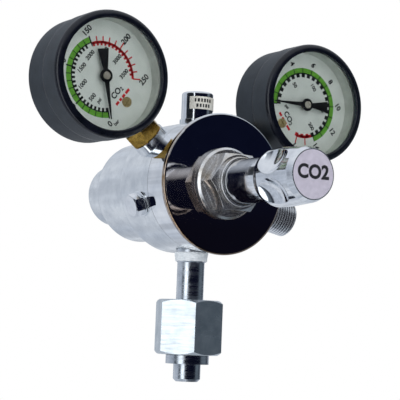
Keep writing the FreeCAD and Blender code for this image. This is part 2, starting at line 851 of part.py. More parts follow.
def build_seat_and_poppet():
    """The brass nozzle and the poppet that closes against it from the high pressure side."""
    bore = size.nozzle_bore_radius
    head_end = size.nozzle_length + size.nozzle_head_thick
    nozzle = turned(
        [
            (bore, 0),
            (size.nozzle_radius, 0),
            (size.nozzle_radius, size.nozzle_length),
            (size.nozzle_head_radius, size.nozzle_length),
            (size.nozzle_head_radius, head_end),
            (bore + size.nozzle_lip_foot, head_end),
            (bore + size.nozzle_lip_crest, head_end + size.nozzle_lip),
            (bore, head_end + size.nozzle_lip),
        ],
        "Nozzle",
    )
    keep(nozzle, "seat_nozzle", at(0, size.nozzle_y, 0, REARWARD))
    seat_y = size.nozzle_y + head_end + size.nozzle_lip
    pin_length = seat_y - size.bonnet_depth - size.diaphragm_thick
    poppet = turned(
        [
            (0, 0),
            (size.poppet_pin_radius, 0),
            (size.poppet_pin_radius, pin_length),
            (size.poppet_head_radius, pin_length),
            (size.poppet_head_radius, pin_length + size.poppet_head_thick),
            (size.poppet_guide_radius, pin_length + size.poppet_head_thick),
            (size.poppet_guide_radius, pin_length + size.poppet_head_thick + size.poppet_guide_length),
            (0, pin_length + size.poppet_head_thick + size.poppet_guide_length),
        ],
        "Poppet",
    )
    keep(poppet, "poppet", at(0, seat_y - pin_length, 0, REARWARD))
    spring_y = seat_y + size.poppet_head_thick
    wire = coil(
        size.poppet_coil_radius,
        size.poppet_wire_radius,
        (size.poppet_spring_length - 2 * size.poppet_wire_radius) / size.poppet_spring_turns,
        size.poppet_spring_length,
        "PoppetSpring",
    )
    keep(wire, "poppet_spring", at(0, spring_y, 0, REARWARD))
    spring_end = spring_y + size.poppet_spring_length
    spigot_y = size.body_rear_y - size.cap_spigot_length
    cap = turned(
        [
            (0, spring_end - spigot_y),
            (size.cap_bore_radius, spring_end - spigot_y),
            (size.cap_bore_radius, 0),
            (size.cap_spigot_radius, 0),
            (size.cap_spigot_radius, size.cap_spigot_length),
            (size.cap_radius, size.cap_spigot_length),
            (size.cap_radius, size.cap_spigot_length + size.cap_length),
            (0, size.cap_spigot_length + size.cap_length),
        ],
        "RearCap",
    )
    rounded(cap, [(size.cap_radius, size.cap_spigot_length + size.cap_length)], size.cap_round)
    cap.Placement = at(0, spigot_y, 0, REARWARD)
    hole_y = size.body_rear_y + size.cap_length - size.cap_pin_hole_depth
    holes = [
        cylinder(size.cap_pin_hole_radius, THROUGH, at(side * size.cap_pin_hole_pitch, hole_y, 0, REARWARD))
        for side in (-1, 1)
    ]
    keep(cut(cap, *holes), "rear_cap")


# ---- inlet ---------------------------------------------------------------------------------


def build_inlet():
    """The inlet stem with its collar, the thread tape, the swivelling union nut and the filter."""
    spigot = size.port_thread_radius
    start = size.port_bottom
    corners = [
        (size.stem_bore_radius, 0),
        (spigot, 0),
        (spigot, size.stem_spigot_end - start),
        (size.stem_radius, size.stem_spigot_end + size.stem_spigot_taper - start),
        (size.stem_radius, size.stem_collar_top - start),
        (size.stem_collar_radius, size.stem_collar_top - start),
        (size.stem_collar_radius, size.stem_collar_top + size.stem_collar_thick - start),
        (size.stem_radius, size.stem_collar_top + size.stem_collar_thick - start),
        (size.stem_radius, size.stem_end - size.stem_chamfer - start),
        (size.stem_radius - size.stem_chamfer, size.stem_end - start),
        (size.stem_bore_radius, size.stem_end - start),
    ]
    stem = turned(corners, "InletStem")
    keep(stem, "inlet_stem", at(0, size.port_y, -start, DOWNWARD))
    tape_length = size.stem_spigot_end - size.tape_top
    tape = turned(
        [
            (spigot, 0),
            (spigot + 2 * size.tape_thick, 0),
            (spigot + size.tape_thick, tape_length / 2),
            (spigot + size.tape_thick, tape_length),
            (spigot, tape_length),
        ],
        "Tape",
    )
    keep(tape, "thread_tape", at(0, size.port_y, -size.tape_top, DOWNWARD))
    filter_disc = turned(disc(size.stem_bore_radius, size.filter_thick), "Filter")
    filter_z = size.filter_recess + size.filter_thick - size.stem_end
    keep(filter_disc, "inlet_filter", at(0, size.port_y, filter_z, DOWNWARD))
    bore = size.stem_radius + size.swivel_clearance
    washer_radius = size.union_nut_thread_radius - size.swivel_clearance
    washer = turned(disc(washer_radius, size.slip_washer_thick, bore), "SlipWasher")
    washer_z = -size.union_nut_top - size.union_nut_shoulder
    keep(washer, "nut_slip_washer", at(0, size.port_y, washer_z, DOWNWARD))
    blank = chamfered_hexagon(size.union_nut_flats, size.union_nut_length)
    stem_hole = cylinder(bore, THROUGH, at(0, 0, -OVERRUN))
    thread = cylinder(size.union_nut_thread_radius, THROUGH, at(0, 0, size.union_nut_shoulder))
    turn = DOWNWARD.multiply(Rotation(Vector(0, 0, 1), size.union_nut_turn.value))
    keep(cut(blank, stem_hole, thread), "union_nut", at(0, size.port_y, -size.union_nut_top, turn))


# ---- outlet, plug and safety valve ----------------------------------------------------------


def build_outlet():
    """The threaded outlet, with a helical thread cut along it."""
    start = size.port_bottom
    tip = size.outlet_end - start
    shank = size.outlet_shank_end - start
    body = turned(
        [
            (size.outlet_bore_radius, 0),
            (size.port_thread_radius, 0),
            (size.port_thread_radius, size.outlet_boss_top - start),
            (size.outlet_shank_radius, size.outlet_boss_top - start),
            (size.outlet_shank_radius, shank),
            (size.outlet_thread_radius, shank + size.outlet_thread_run_in),
            (size.outlet_thread_radius, tip - size.outlet_chamfer),
            (size.outlet_thread_radius - size.outlet_chamfer, tip),
            (size.outlet_mouth_radius, tip),
            (size.outlet_bore_radius, tip - size.outlet_mouth_depth),
        ],
        "Outlet",
    )
    groove = sketch_on(body, "XZ_Plane")
    root = size.outlet_thread_radius - size.outlet_thread_depth
    half = GROOVE_HALF_WIDTH * size.outlet_thread_pitch
    middle = shank - GROOVE_LEAD
    outside = size.outlet_thread_radius + GROOVE_LEAD
    add_outline(groove, [(root, middle), (outside, middle - half), (outside, middle + half)])
    thread = body.newObject("PartDesign::SubtractiveHelix", "Thread")
    thread.Profile = groove
    thread.ReferenceAxis = (groove, ["V_Axis"])
    thread.Mode = 0
    thread.Pitch = size.outlet_thread_pitch.value
    thread.Height = (tip - shank + OVERRUN).value
    bind(thread, Pitch=size.outlet_thread_pitch, Height=tip - shank + OVERRUN)
    groove.Visibility = False
    doc.recompute()
    keep(body, "outlet_fitting", port(size.outlet_angle, start))


def build_side_plug():
    """The small hexagon plug that holds the bursting disc."""
    start = size.port_bottom
    face = size.plug_boss_top - start
    shank = cylinder(size.plug_thread_radius, face)
    head = chamfered_hexagon(size.plug_flats, size.plug_hex_length)
    head.Placement = at(0, 0, face)
    hole = cylinder(size.plug_hole_radius, face + size.plug_hex_length, at(0, 0, -OVERRUN))
    pocket = cylinder(size.burst_disc_radius, size.burst_disc_thick + OVERRUN, at(0, 0, -OVERRUN))
    plug = cut(fused(shank, head), hole, pocket)
    keep(plug, "side_plug", port(size.plug_angle, start))
    burst = turned(disc(size.burst_disc_radius, size.burst_disc_thick), "BurstDisc")
    keep(burst, "burst_disc", port(size.plug_angle, start))


def build_safety_valve():
    """The relief valve on top: housing, poppet, spring, adjuster and its paper band."""
    start = size.port_bottom
    boss = size.safety_boss_top - start
    top = size.safety_top - start
    seat = size.safety_seat - start
    housing = turned(
        [
            (size.safety_inlet_radius, 0),
            (size.port_thread_radius, 0),
            (size.port_thread_radius, boss),
            (size.safety_radius, boss),
            (size.safety_radius, top),
            (size.safety_bore_radius, top),
            (size.safety_bore_radius, seat),
            (size.safety_inlet_radius, seat),
        ],
        "SafetyHousing",
    )
    rounded(housing, [(size.safety_radius, top)], size.safety_round)
    keep(housing, "safety_housing", port(SAFETY_ANGLE, start))
    cap_start = size.safety_top - size.safety_cap_thick - size.safety_cap_recess
    bore = size.safety_stem_radius + size.safety_stem_clearance
    cap = turned(disc(size.safety_bore_radius, size.safety_cap_thick, bore), "Adjuster")
    keep(cap, "safety_adjuster", port(SAFETY_ANGLE, cap_start))
    valve = turned(
        [
            (0, 0),
            (size.safety_poppet_radius, 0),
            (size.safety_poppet_radius, size.safety_poppet_thick),
            (size.safety_stem_radius, size.safety_poppet_thick),
            (size.safety_stem_radius, size.safety_poppet_thick + size.safety_stem_length),
            (0, size.safety_poppet_thick + size.safety_stem_length),
        ],
        "SafetyPoppet",
    )
    keep(valve, "safety_poppet", port(SAFETY_ANGLE, size.safety_seat))
    spring_start = size.safety_seat + size.safety_poppet_thick
    length = cap_start - spring_start
    wire = coil(
        size.safety_coil_radius,
        size.safety_wire_radius,
        (length - 2 * size.safety_wire_radius) / size.safety_spring_turns,
        length,
        "SafetySpring",
    )
    keep(wire, "safety_spring", port(SAFETY_ANGLE, spring_start))
    outer = size.safety_radius + size.safety_band_thick
    band_height = size.safety_band_high - size.safety_band_low
    band = turned(disc(outer, band_height, size.safety_radius), "Band", size.safety_band_angle)
    place = port(SAFETY_ANGLE, size.safety_band_low)
    spin = Placement(Vector(), Rotation(Vector(0, 0, 1), size.safety_band_start.value))
    keep(band, "safety_label", place.multiply(spin))


# ---- gauges --------------------------------------------------------------------------------


def gauge_frame(side):
    """Placement of a gauge's own frame: centre of the bezel's front, stem towards its -Z."""
    tilt = Rotation(Vector(0, 1, 0), side * size.gauge_tilt.value)
    centre = tilt.multVec(Vector(0, 0, size.gauge_reach.value))
    return Placement(centre + Vector(0, size.gauge_front_y.value, 0), tilt)


def in_gauge(side, depth, turn=REARWARD, x=0.0, z=0.0):
    """Placement of a piece in a gauge, at a depth behind the bezel's front."""
    return gauge_frame(side).multiply(at(x, depth, z, turn))


def build_case(side, name):
    """The cup of the gauge, with the hole its stem passes through."""
    collar = size.dial_front + size.dial_thick
    inner = size.thread_fit_radius - size.case_wall
    corners = [
        (inner, 0),
        (size.thread_fit_radius, 0),
        (size.thread_fit_radius, size.case_front - collar),
        (size.case_radius, size.case_front - collar),
        (size.case_radius, size.case_back - collar),
        (0, size.case_back - collar),
        (0, size.case_back - size.case_wall - collar),
        (inner, size.case_back - size.case_wall - collar),
    ]
    cup = turned(corners, "Case")
    rounded(cup, [(size.case_radius, size.case_back - collar)], size.case_round)
    cup.Placement = at(0, collar, 0, REARWARD)
    gap = size.socket_neck_radius + size.socket_neck_clearance
    hole = cylinder(gap, THROUGH, at(0, size.stem_offset, -size.socket_bore_top, DOWNWARD))
    keep(cut(cup, hole), f"{name}_case", gauge_frame(side))


def build_window(side, name):
    """Bezel, lens, the ring behind the lens and the dial."""
    ring = turned(
        [
            (size.bezel_opening, 0),
            (size.bezel_radius, 0),
            (size.bezel_radius, size.bezel_depth),
            (size.thread_fit_radius, size.bezel_depth),
            (size.thread_fit_radius, size.bezel_lip),
            (size.bezel_opening, size.bezel_lip),
        ],
        "Bezel",
    )
    rounded(ring, [(size.bezel_radius, 0)], size.bezel_round)
    rounded(ring, [(size.bezel_opening, 0)], size.bezel_inner_round)
    keep(ring, f"{name}_bezel", in_gauge(side, 0))
    lens = turned(disc(size.dial_radius, size.lens_thick), "Lens")
    keep(lens, f"{name}_lens", in_gauge(side, size.bezel_lip))
    spacer_y = size.bezel_lip + size.lens_thick
    spacer = turned(disc(size.dial_radius, size.dial_front - spacer_y, size.spacer_bore_radius), "Spacer")
    keep(spacer, f"{name}_spacer", in_gauge(side, spacer_y))
    card = turned(disc(size.dial_radius, size.dial_thick, size.dial_hole_radius), "Dial")
    card.Placement = at(0, size.dial_front, 0, REARWARD)
    hole = cylinder(size.dial_screw_radius, THROUGH, at(0, 0, -size.dial_screw_z, REARWARD))
    keep(cut(card, hole), f"{name}_dial", gauge_frame(side))


def build_socket(side, name):
    """The brass socket: block inside the case, hexagon outside it, thread in the valve body."""
    block_height = size.socket_block_bottom - size.socket_block_top
    block = box(
        size.socket_block_width,
        size.socket_block_depth,
        block_height,
        at(size.socket_block_width / -2, size.socket_block_front, -size.socket_block_bottom),
    )
    axis_y = size.stem_offset
    neck_top = size.socket_block_bottom - OVERLAP
    neck_length = size.socket_hex_start + OVERLAP - neck_top
    neck = cylinder(size.socket_neck_radius, neck_length, at(0, axis_y, -neck_top, DOWNWARD))
    head = chamfered_hexagon(size.socket_hex_flats, size.socket_hex_end - size.socket_hex_start)
    head.Placement = at(0, axis_y, -size.socket_hex_start, DOWNWARD)
    shank_top = size.socket_hex_end - OVERLAP
    shank_length = size.socket_end - shank_top
    shank = cylinder(size.port_thread_radius, shank_length, at(0, axis_y, -shank_top, DOWNWARD))
    bore = cylinder(size.socket_bore_radius, THROUGH, at(0, axis_y, -size.socket_bore_top, DOWNWARD))
    screw_hole = cylinder(
        size.dial_screw_radius,
        size.dial_screw_length,
        at(0, size.dial_front, -size.dial_screw_z, REARWARD),
    )
    tube_slot = turned(tube_outline(), "TubeSlot", size.tube_sweep)
    tube_slot.Placement = tube_place()
    socket = cut(fused(block, neck, head, shank), bore, screw_hole, tube_slot)
    keep(socket, f"{name}_socket", gauge_frame(side))


def tube_outline():
    """The outer section of the Bourdon tube, as (radius, depth) corners."""
    depth = size.tube_back - size.tube_front
    return [
        (size.tube_inner_radius, 0),
        (size.tube_outer_radius, 0),
        (size.tube_outer_radius, depth),
        (size.tube_inner_radius, depth),
    ]


def tube_place():
    """Where the tube starts: its free end, from which it sweeps clockwise to the socket."""
    turn = Rotation(Vector(0, 1, 0), -size.tube_end_angle.value)
    return Placement(Vector(0, size.tube_front.value, 0), turn.multiply(REARWARD))


def build_bourdon_tube(side, name):
    """The hollow C-shaped tube, from its free end round to the socket."""
    wall = size.tube_wall
    inner = [
        (size.tube_inner_radius + wall, wall),
        (size.tube_outer_radius - wall, wall),
        (size.tube_outer_radius - wall, size.tube_back - size.tube_front - wall),
        (size.tube_inner_radius + wall, size.tube_back - size.tube_front - wall),
    ]
    tube = turned(tube_outline(), "Tube", size.tube_sweep, inner)
    keep(tube, f"{name}_bourdon_tube", gauge_frame(side).multiply(tube_place()))


def build_movement(side, name):
    """The movement frame: two plates joined by two pillars, bored for the arbor and the sector."""
    width = 2 * size.movement_half_width
    height = size.movement_top + size.movement_bottom
    sheets = [
        box(width, size.movement_plate_thick, height, at(width / -2, depth, -size.movement_bottom))
        for depth in (size.plate_front_y, size.movement_back_y)
    ]
    gap = size.movement_back_y - size.plate_front_y
    pillars = [
        cylinder(size.pillar_radius, gap, at(x, size.plate_front_y, size.pillar_z, REARWARD))
        for x in (-size.pillar_x, size.pillar_x)
    ]
    fit = size.arbor_radius + size.running_clearance
    holes = [
        cylinder(fit, THROUGH, at(0, 0, z, REARWARD)) for z in (0, -sector_centre())
    ]
    keep(cut(fused(*sheets, *pillars), *holes), f"{name}_movement", gauge_frame(side))


def sector_centre():
    """Distance between the pinion's axis and the sector's."""
    return size.gear_module * (size.pinion_teeth + size.sector_teeth) / 2


def gear_outline(teeth, first, last):
    """Points round the rim of a small gear, from tooth number first to tooth number last."""
    module = size.gear_module.value
    pitch_radius = module * teeth / 2
    tip = pitch_radius + TOOTH_TIP * module
    root = pitch_radius - TOOTH_ROOT * module
    corners = (
        (root, -ROOT_HALF_WIDTH),
        (tip, -TIP_HALF_WIDTH),
        (tip, TIP_HALF_WIDTH),
        (root, ROOT_HALF_WIDTH),
    )
    points = []
    for tooth in range(first, last + 1):
        for radius, offset in corners:
            angle = 2 * math.pi * (tooth + offset) / teeth
            points.append(Vector(radius * math.cos(angle), radius * math.sin(angle), 0))
    return points


def padded(points, thickness):
    """A solid raised from a closed polygon."""
    face = Part.Face(Part.makePolygon(points + [points[0]]))
    return face.extrude(Vector(0, 0, thickness))


def computed(shape, name):
    """A Part::Feature that holds a computed shape."""
    thing = doc.addObject("Part::Feature", name)
    thing.Shape = shape
    return thing


def build_arbor(side, name):
    """The pointer's arbor with its pinion."""
    teeth = int(size.pinion_teeth.value)
    pinion = padded(gear_outline(teeth, 0, teeth - 1), size.gear_thick.value)
    pinion = computed(pinion, "Pinion")
    pinion.Placement = at(0, size.gear_y, 0, Rotation(Vector(0, 1, 0), 90).multiply(REARWARD))
    length = size.movement_back_y + size.movement_plate_thick - size.pointer_y - size.pointer_thick
    shaft = cylinder(size.arbor_radius, length, at(0, size.pointer_y + size.pointer_thick, 0, REARWARD))
    keep(fused(shaft, pinion), f"{name}_arbor", gauge_frame(side))


def build_sector(side, name):
    """The toothed sector with its staff and the tail that the link pulls."""
    teeth = int(size.sector_teeth.value)
    step = 360.0 / teeth
    reach = int(size.sector_half_span.value / step)
    rim = gear_outline(teeth, -reach, reach)
    meshing = 90.0
    whole_steps = round((meshing - size.sector_rest_angle.value) / step - 0.5)
    offset = (whole_steps + 0.5) * step
    fan = padded([Vector(0, 0, 0)] + rim, size.gear_thick.value)
    fan = computed(fan, "Fan")
    turn = Rotation(Vector(0, 1, 0), offset - meshing)
    fan.Placement = at(0, size.gear_y, 0, turn.multiply(REARWARD))
    staff_length = size.movement_back_y + size.movement_plate_thick - size.plate_front_y
    staff = cylinder(size.arbor_radius, staff_length, at(0, size.plate_front_y, 0, REARWARD))
    tail_x, tail_z = tail_end()
    arm = box(size.tail_radius, size.gear_thick, size.tail_width)
    arm_turn = Rotation(Vector(0, 1, 0), -size.tail_angle.value)
    arm.Placement = at(0, size.gear_y, 0, arm_turn).multiply(at(0, 0, size.tail_width / -2))
    eye = cylinder(size.tail_eye_radius, size.gear_thick, at(tail_x, size.gear_y, tail_z, REARWARD))
    stud_length = size.link_y + size.link_thick + size.stud_end - size.gear_y
    stud = cylinder(size.stud_radius, stud_length, at(tail_x, size.gear_y, tail_z, REARWARD))
    place = gauge_frame(side).multiply(at(0, 0, -sector_centre()))
    keep(fused(fan, staff, arm, eye, stud), f"{name}_sector", place)


def tail_end():
    """Where the sector's tail ends, from the sector's axis."""
    tail = math.radians(size.tail_angle.value)
    reach = size.tail_radius.value
    return reach * math.cos(tail), reach * math.sin(tail)


def build_link(side, name):
    """The flat link from the sector's tail towards the tube's free end."""
    tail_x, tail_z = tail_end()
    stations = (0, size.link_length)
    bar = box(size.link_length, size.link_thick, size.link_width, at(0, 0, size.link_width / -2))
    ends = [cylinder(size.link_eye_radius, size.link_thick, at(x, 0, 0, REARWARD)) for x in stations]
    holes = [cylinder(size.link_hole_radius, THROUGH, at(x, -OVERRUN, 0, REARWARD)) for x in stations]
    link = cut(fused(bar, *ends), *holes)
    turn = Rotation(Vector(0, 1, 0), -size.link_angle.value)
    place = at(tail_x, size.link_y, tail_z - sector_centre(), turn)
    keep(link, f"{name}_link", gauge_frame(side).multiply(place))


def build_pointer(side, name, rest):
    """The black pointer, tapered to its tip with a wedge tail, and the small cap on its hub."""
    hub_edge = size.pointer_hub_radius - size.pointer_hub_overlap
    needle = plate(
        [
            (size.pointer_tip, size.pointer_tip_half),
            (hub_edge, size.pointer_root_half),
            (-hub_edge, size.pointer_root_half),
            (-size.pointer_tail, size.pointer_tail_half),
            (-size.pointer_tail, -size.pointer_tail_half),
            (-hub_edge, -size.pointer_root_half),
            (hub_edge, -size.pointer_root_half),
            (size.pointer_tip, -size.pointer_tip_half),
        ],
        size.pointer_thick,
        "Needle",
    )
    hub = cylinder(size.pointer_hub_radius, size.pointer_thick)
    whole = fused(needle, hub)
    turn = Rotation(Vector(0, 1, 0), -rest.value).multiply(REARWARD)
    keep(whole, f"{name}_pointer", in_gauge(side, size.pointer_y, turn))
    cap = turned(disc(size.pointer_cap_radius, size.pointer_cap_thick), "Cap")
    rounded(cap, [(size.pointer_cap_radius, 0)], size.pointer_cap_round)
    keep(cap, f"{name}_pointer_cap", in_gauge(side, size.pointer_y - size.pointer_cap_thick))


def build_dial_screws():
    """The slotted screws that fix both dials to their sockets: two alike, in one node."""
    screws = []
    for side in (-1, 1):
        head = size.dial_screw_head
        blank = turned(
            [
                (0, 0),
                (size.dial_screw_head_radius, 0),
                (size.dial_screw_head_radius, head),
                (size.dial_screw_radius, head),
                (size.dial_screw_radius, head + size.dial_screw_length),
                (0, head + size.dial_screw_length),
            ],
            "DialScrew",
        )
        rounded(blank, [(size.dial_screw_head_radius, 0)], size.dial_screw_round)
        slot_length = 2 * (size.dial_screw_head_radius + OVERRUN)
        slot_place = at(slot_length / -2, size.dial_screw_slot / -2, 0)
        slot = box(slot_length, size.dial_screw_slot, size.dial_screw_slot_depth, slot_place)
        screw = cut(blank, slot)
        screw.Placement = in_gauge(side, size.dial_front - head, REARWARD, z=-size.dial_screw_z)
        screws.append(screw)
    both = doc.addObject("Part::Compound", "DialScrews")
    both.Links = screws
    doc.recompute()
    keep(both, "dial_screws")


# ---- build, check and write ------------------------------------------------------------------

build_bonnet()
build_bonnet_nut()
build_screw_bushing()
build_adjusting_screw()
build_knob_sleeve()
build_knob()
build_spring_parts()
build_valve_body()
build_seat_and_poppet()
build_inlet()
build_outlet()
build_side_plug()
build_safety_valve()
for gauge_side, gauge_name, pointer_rest in (
    (-1, "high_gauge", size.high_pointer_rest),
    (1, "low_gauge", size.low_pointer_rest),
):
    build_case(gauge_side, gauge_name)
    build_window(gauge_side, gauge_name)
    build_socket(gauge_side, gauge_name)
    build_bourdon_tube(gauge_side, gauge_name)
    build_movement(gauge_side, gauge_name)
    build_arbor(gauge_side, gauge_name)
    build_sector(gauge_side, gauge_name)
    build_link(gauge_side, gauge_name)
    build_pointer(gauge_side, gauge_name, pointer_rest)
build_dial_screws()
doc.recompute()

for thing in doc.Objects:
    faults = [state for state in thing.State if state in ("Invalid", "Error")]
    if faults:
        raise RuntimeError(f"{thing.Name} ({thing.Label}) did not compute: {thing.getStatusString()}")
for piece in pieces:
    if piece.Shape.isNull() or not piece.Shape.isValid():
        raise RuntimeError(f"{piece.Label} has no valid shape")
    if not piece.Shape.Solids:
        raise RuntimeError(f"{piece.Label} is not solid")

os.makedirs("parts", exist_ok=True)
for piece in pieces:
    piece.Shape.exportStep(f"parts/{piece.Label}.step")
print(len(pieces), "pieces written")
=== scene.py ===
import math
from dataclasses import dataclass

import bpy
from mathutils import Matrix, Vector, noise


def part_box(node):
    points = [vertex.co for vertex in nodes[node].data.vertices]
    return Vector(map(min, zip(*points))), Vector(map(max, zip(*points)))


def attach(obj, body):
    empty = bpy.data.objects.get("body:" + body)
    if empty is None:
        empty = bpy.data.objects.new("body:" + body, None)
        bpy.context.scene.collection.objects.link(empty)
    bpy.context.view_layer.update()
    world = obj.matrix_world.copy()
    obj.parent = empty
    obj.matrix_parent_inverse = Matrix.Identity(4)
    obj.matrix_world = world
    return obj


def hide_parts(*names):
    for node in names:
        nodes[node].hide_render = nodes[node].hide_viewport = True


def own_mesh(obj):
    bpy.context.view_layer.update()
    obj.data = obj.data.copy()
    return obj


# Looks of the carbon dioxide regulator: finishes, dial printing, labels, thread tape, studio and camera.
# Metres, in the part's own frame: +Z up, the knob towards -Y, the inlet's seating shoulder at the origin.
# Names that end in _MM, and sizes that are multiplied by MM, are in millimetres.

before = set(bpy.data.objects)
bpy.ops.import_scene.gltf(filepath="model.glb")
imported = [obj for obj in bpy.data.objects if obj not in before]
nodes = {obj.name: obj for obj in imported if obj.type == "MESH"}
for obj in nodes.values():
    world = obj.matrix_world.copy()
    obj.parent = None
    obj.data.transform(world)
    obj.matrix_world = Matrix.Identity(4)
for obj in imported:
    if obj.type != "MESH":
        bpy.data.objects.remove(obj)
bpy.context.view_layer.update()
scene = bpy.context.scene

MM = 0.001
FRONT = Vector((0, -1, 0))


def middle_of(node):
    """The middle of a CAD node's box."""
    low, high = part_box(node)
    return (low + high) / 2


def round_point(radius, turn, z):
    """A point at this distance from the frame's Z axis, turned from +X, at this height."""
    return Vector((radius * math.cos(turn), radius * math.sin(turn), z))


# The bonnet is round about the main axis: its front is the flange, and its rear meets the body.
bonnet_low, bonnet_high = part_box("bonnet")
MAIN_AXIS_MM = middle_of("bonnet").z / MM
FLANGE_FRONT_MM = bonnet_low.y / MM
FLANGE_RADIUS_MM = bonnet_high.x / MM
BODY_JOINT_MM = bonnet_high.y / MM
BEZEL_JOINT_MM = 0.45  # width of the joint between bezel and case
OUTLET_ANGLE = math.radians(-11.5)
THREAD_ROOT_MM = 7.75
THREAD_CREST_MM = 8.2

CHROME_DULL = (0.80, 0.82, 0.86)
CHROME_BRIGHT = (0.94, 0.95, 0.97)
CASE_DARK = (0.009, 0.014, 0.021)
CASE_LIGHT = (0.016, 0.023, 0.032)
BLACK_INK = (0.012, 0.012, 0.015)
GREEN_INK = (0.12, 0.36, 0.03)
RED_INK = (0.60, 0.015, 0.02)


# ---- materials -------------------------------------------------------------------------------


class NodeTree:
    """Shader nodes under construction."""

    def __init__(self, tree):
        self.tree = tree

    def add(self, kind, **settings):
        node = self.tree.nodes.new(kind)
        for name, value in settings.items():
            setattr(node, name, value)
        return node

    def link(self, output, target):
        self.tree.links.new(output, target)

    def ramp(self, value, *stops):
        """A colour ramp through (position, colour) stops."""
        node = self.add("ShaderNodeValToRGB")
        elements = node.color_ramp.elements
        while len(elements) < len(stops):
            elements.new(0.5)
        for element, (position, colour) in zip(elements, stops):
            element.position = position
            element.color = (*colour, 1)
        self.link(value, node.inputs["Fac"])
        return node.outputs["Color"]

    def remap(self, value, low, high, start=0.3, end=0.7):
        """A value from start to end, spread from low to high."""
        node = self.add("ShaderNodeMapRange")
        node.inputs["From Min"].default_value = start
        node.inputs["From Max"].default_value = end
        node.inputs["To Min"].default_value = low
        node.inputs["To Max"].default_value = high
        self.link(value, node.inputs["Value"])
        return node.outputs["Result"]

    def math(self, operation, first, second=None):
        node = self.add("ShaderNodeMath", operation=operation)
        for socket, value in zip(node.inputs, (first, second)):
            if value is None:
                continue
            if isinstance(value, (int, float)):
                socket.default_value = value
            else:
                self.link(value, socket)
        return node.outputs["Value"]

    def mixed(self, share, first, second):
        """The first colour where share is 0 and the second where it is 1."""
        node = self.add("ShaderNodeMix", data_type="RGBA")
        first_colour, second_colour = node.inputs[6:8]
        self.link(share, node.inputs["Factor"])
        for socket, colour in ((first_colour, first), (second_colour, second)):
            if isinstance(colour, tuple):
                socket.default_value = (*colour, 1)
            else:
                self.link(colour, socket)
        return node.outputs[2]

    def blended(self, share, first, second):
        """The first shader where share is 0 and the second where it is 1."""
        node = self.add("ShaderNodeMixShader")
        self.link(share, node.inputs["Fac"])
        for socket, shader in zip(node.inputs[1:3], (first, second)):
            self.link(shader, socket)
        return node.outputs["Shader"]

    def distance(self, first, second):
        """The distance from an axis, from the two coordinates across it."""
        squares = [self.math("MULTIPLY", part, part) for part in (first, second)]
        return self.math("SQRT", self.math("ADD", *squares))


class Look(NodeTree):
    """A node material, textured in millimetres of the part's frame."""

    def __init__(self, name):
        self.material = bpy.data.materials.new(name)
        self.material.use_nodes = True
        super().__init__(self.material.node_tree)
        self.shader = self.tree.nodes["Principled BSDF"]
        self.place = self.add("ShaderNodeTexCoord").outputs["Object"]

    def noise(self, size, detail=3.0, stretch=(1, 1, 1), roughness=0.55):
        """Noise whose blotches are about this many millimetres across."""
        mapping = self.add("ShaderNodeMapping")
        scale = [1 / (MM * size * factor) for factor in stretch]
        mapping.inputs["Scale"].default_value = scale
        self.link(self.place, mapping.inputs["Vector"])
        texture = self.add("ShaderNodeTexNoise")
        texture.inputs["Scale"].default_value = 1.0
        texture.inputs["Detail"].default_value = detail
        texture.inputs["Roughness"].default_value = roughness
        self.link(mapping.outputs["Vector"], texture.inputs["Vector"])
        return texture.outputs["Fac"]

    def axis(self, name):
        """One coordinate of the part's frame, in millimetres."""
        split = self.add("ShaderNodeSeparateXYZ")
        self.link(self.place, split.inputs["Vector"])
        return self.math("MULTIPLY", split.outputs[name], 1 / MM)

    def soft_edges(self, radius):
        """A normal that rounds every edge by this many millimetres."""
        node = self.add("ShaderNodeBevel", samples=4)
        node.inputs["Radius"].default_value = radius * MM
        return node.outputs["Normal"]

    def bump(self, height, depth, strength=1.0, normal=None):
        """A normal tilted by a height of this many millimetres."""
        node = self.add("ShaderNodeBump")
        node.inputs["Strength"].default_value = strength
        node.inputs["Distance"].default_value = depth * MM
        self.link(height, node.inputs["Height"])
        if normal is not None:
            self.link(normal, node.inputs["Normal"])
        return node.outputs["Normal"]

    def set(self, **inputs):
        """Set or link inputs of the Principled shader; an underscore stands for a space."""
        for name, value in inputs.items():
            socket = self.shader.inputs[name.replace("_", " ")]
            if hasattr(value, "is_output"):
                self.link(value, socket)
            elif isinstance(value, tuple):
                socket.default_value = (*value, 1)
            else:
                socket.default_value = value
        return self

    def source(self, name):
        """The output that already feeds an input of the Principled shader."""
        return self.shader.inputs[name].links[0].from_socket

    def finish_with(self, surface):
        """Use another shader's output in place of the Principled shader."""
        self.link(surface, self.tree.nodes["Material Output"].inputs["Surface"])


def metal(name, dull, bright, smoothest, roughest, wave=0.012, edge=0.2, stretch=(1, 1, 1), bare=1.0):
    """A metal with cloudy colour, uneven polish, fine scratches and soft edges; bare is its metal share."""
    look = Look(name)
    cloud = look.noise(7, detail=4)
    fine = look.noise(0.35, detail=4, stretch=stretch)
    polish = look.noise(2.2, detail=5, stretch=stretch)
    normal = look.bump(look.noise(5, detail=1), wave, normal=look.soft_edges(edge))
    return look.set(
        Base_Color=look.ramp(cloud, (0.30, dull), (0.62, bright)),
        Metallic=bare,
        Roughness=look.remap(polish, smoothest, roughest),
        Normal=look.bump(fine, 0.004, 0.35, normal),
    )


def painted(name, dark, light, roughness, grain=0.5, depth=0.01, gloss=0.5, edge=0.25):
    """A coloured non-metal surface with a fine grain."""
    look = Look(name)
    cloud = look.noise(6, detail=4)
    fine = look.noise(grain, detail=5)
    return look.set(
        Base_Color=look.ramp(cloud, (0.35, dark), (0.65, light)),
        Roughness=look.remap(fine, roughness - 0.06, roughness + 0.08),
        Specular_IOR_Level=gloss,
        Normal=look.bump(fine, depth, 0.5, look.soft_edges(edge)),
    )


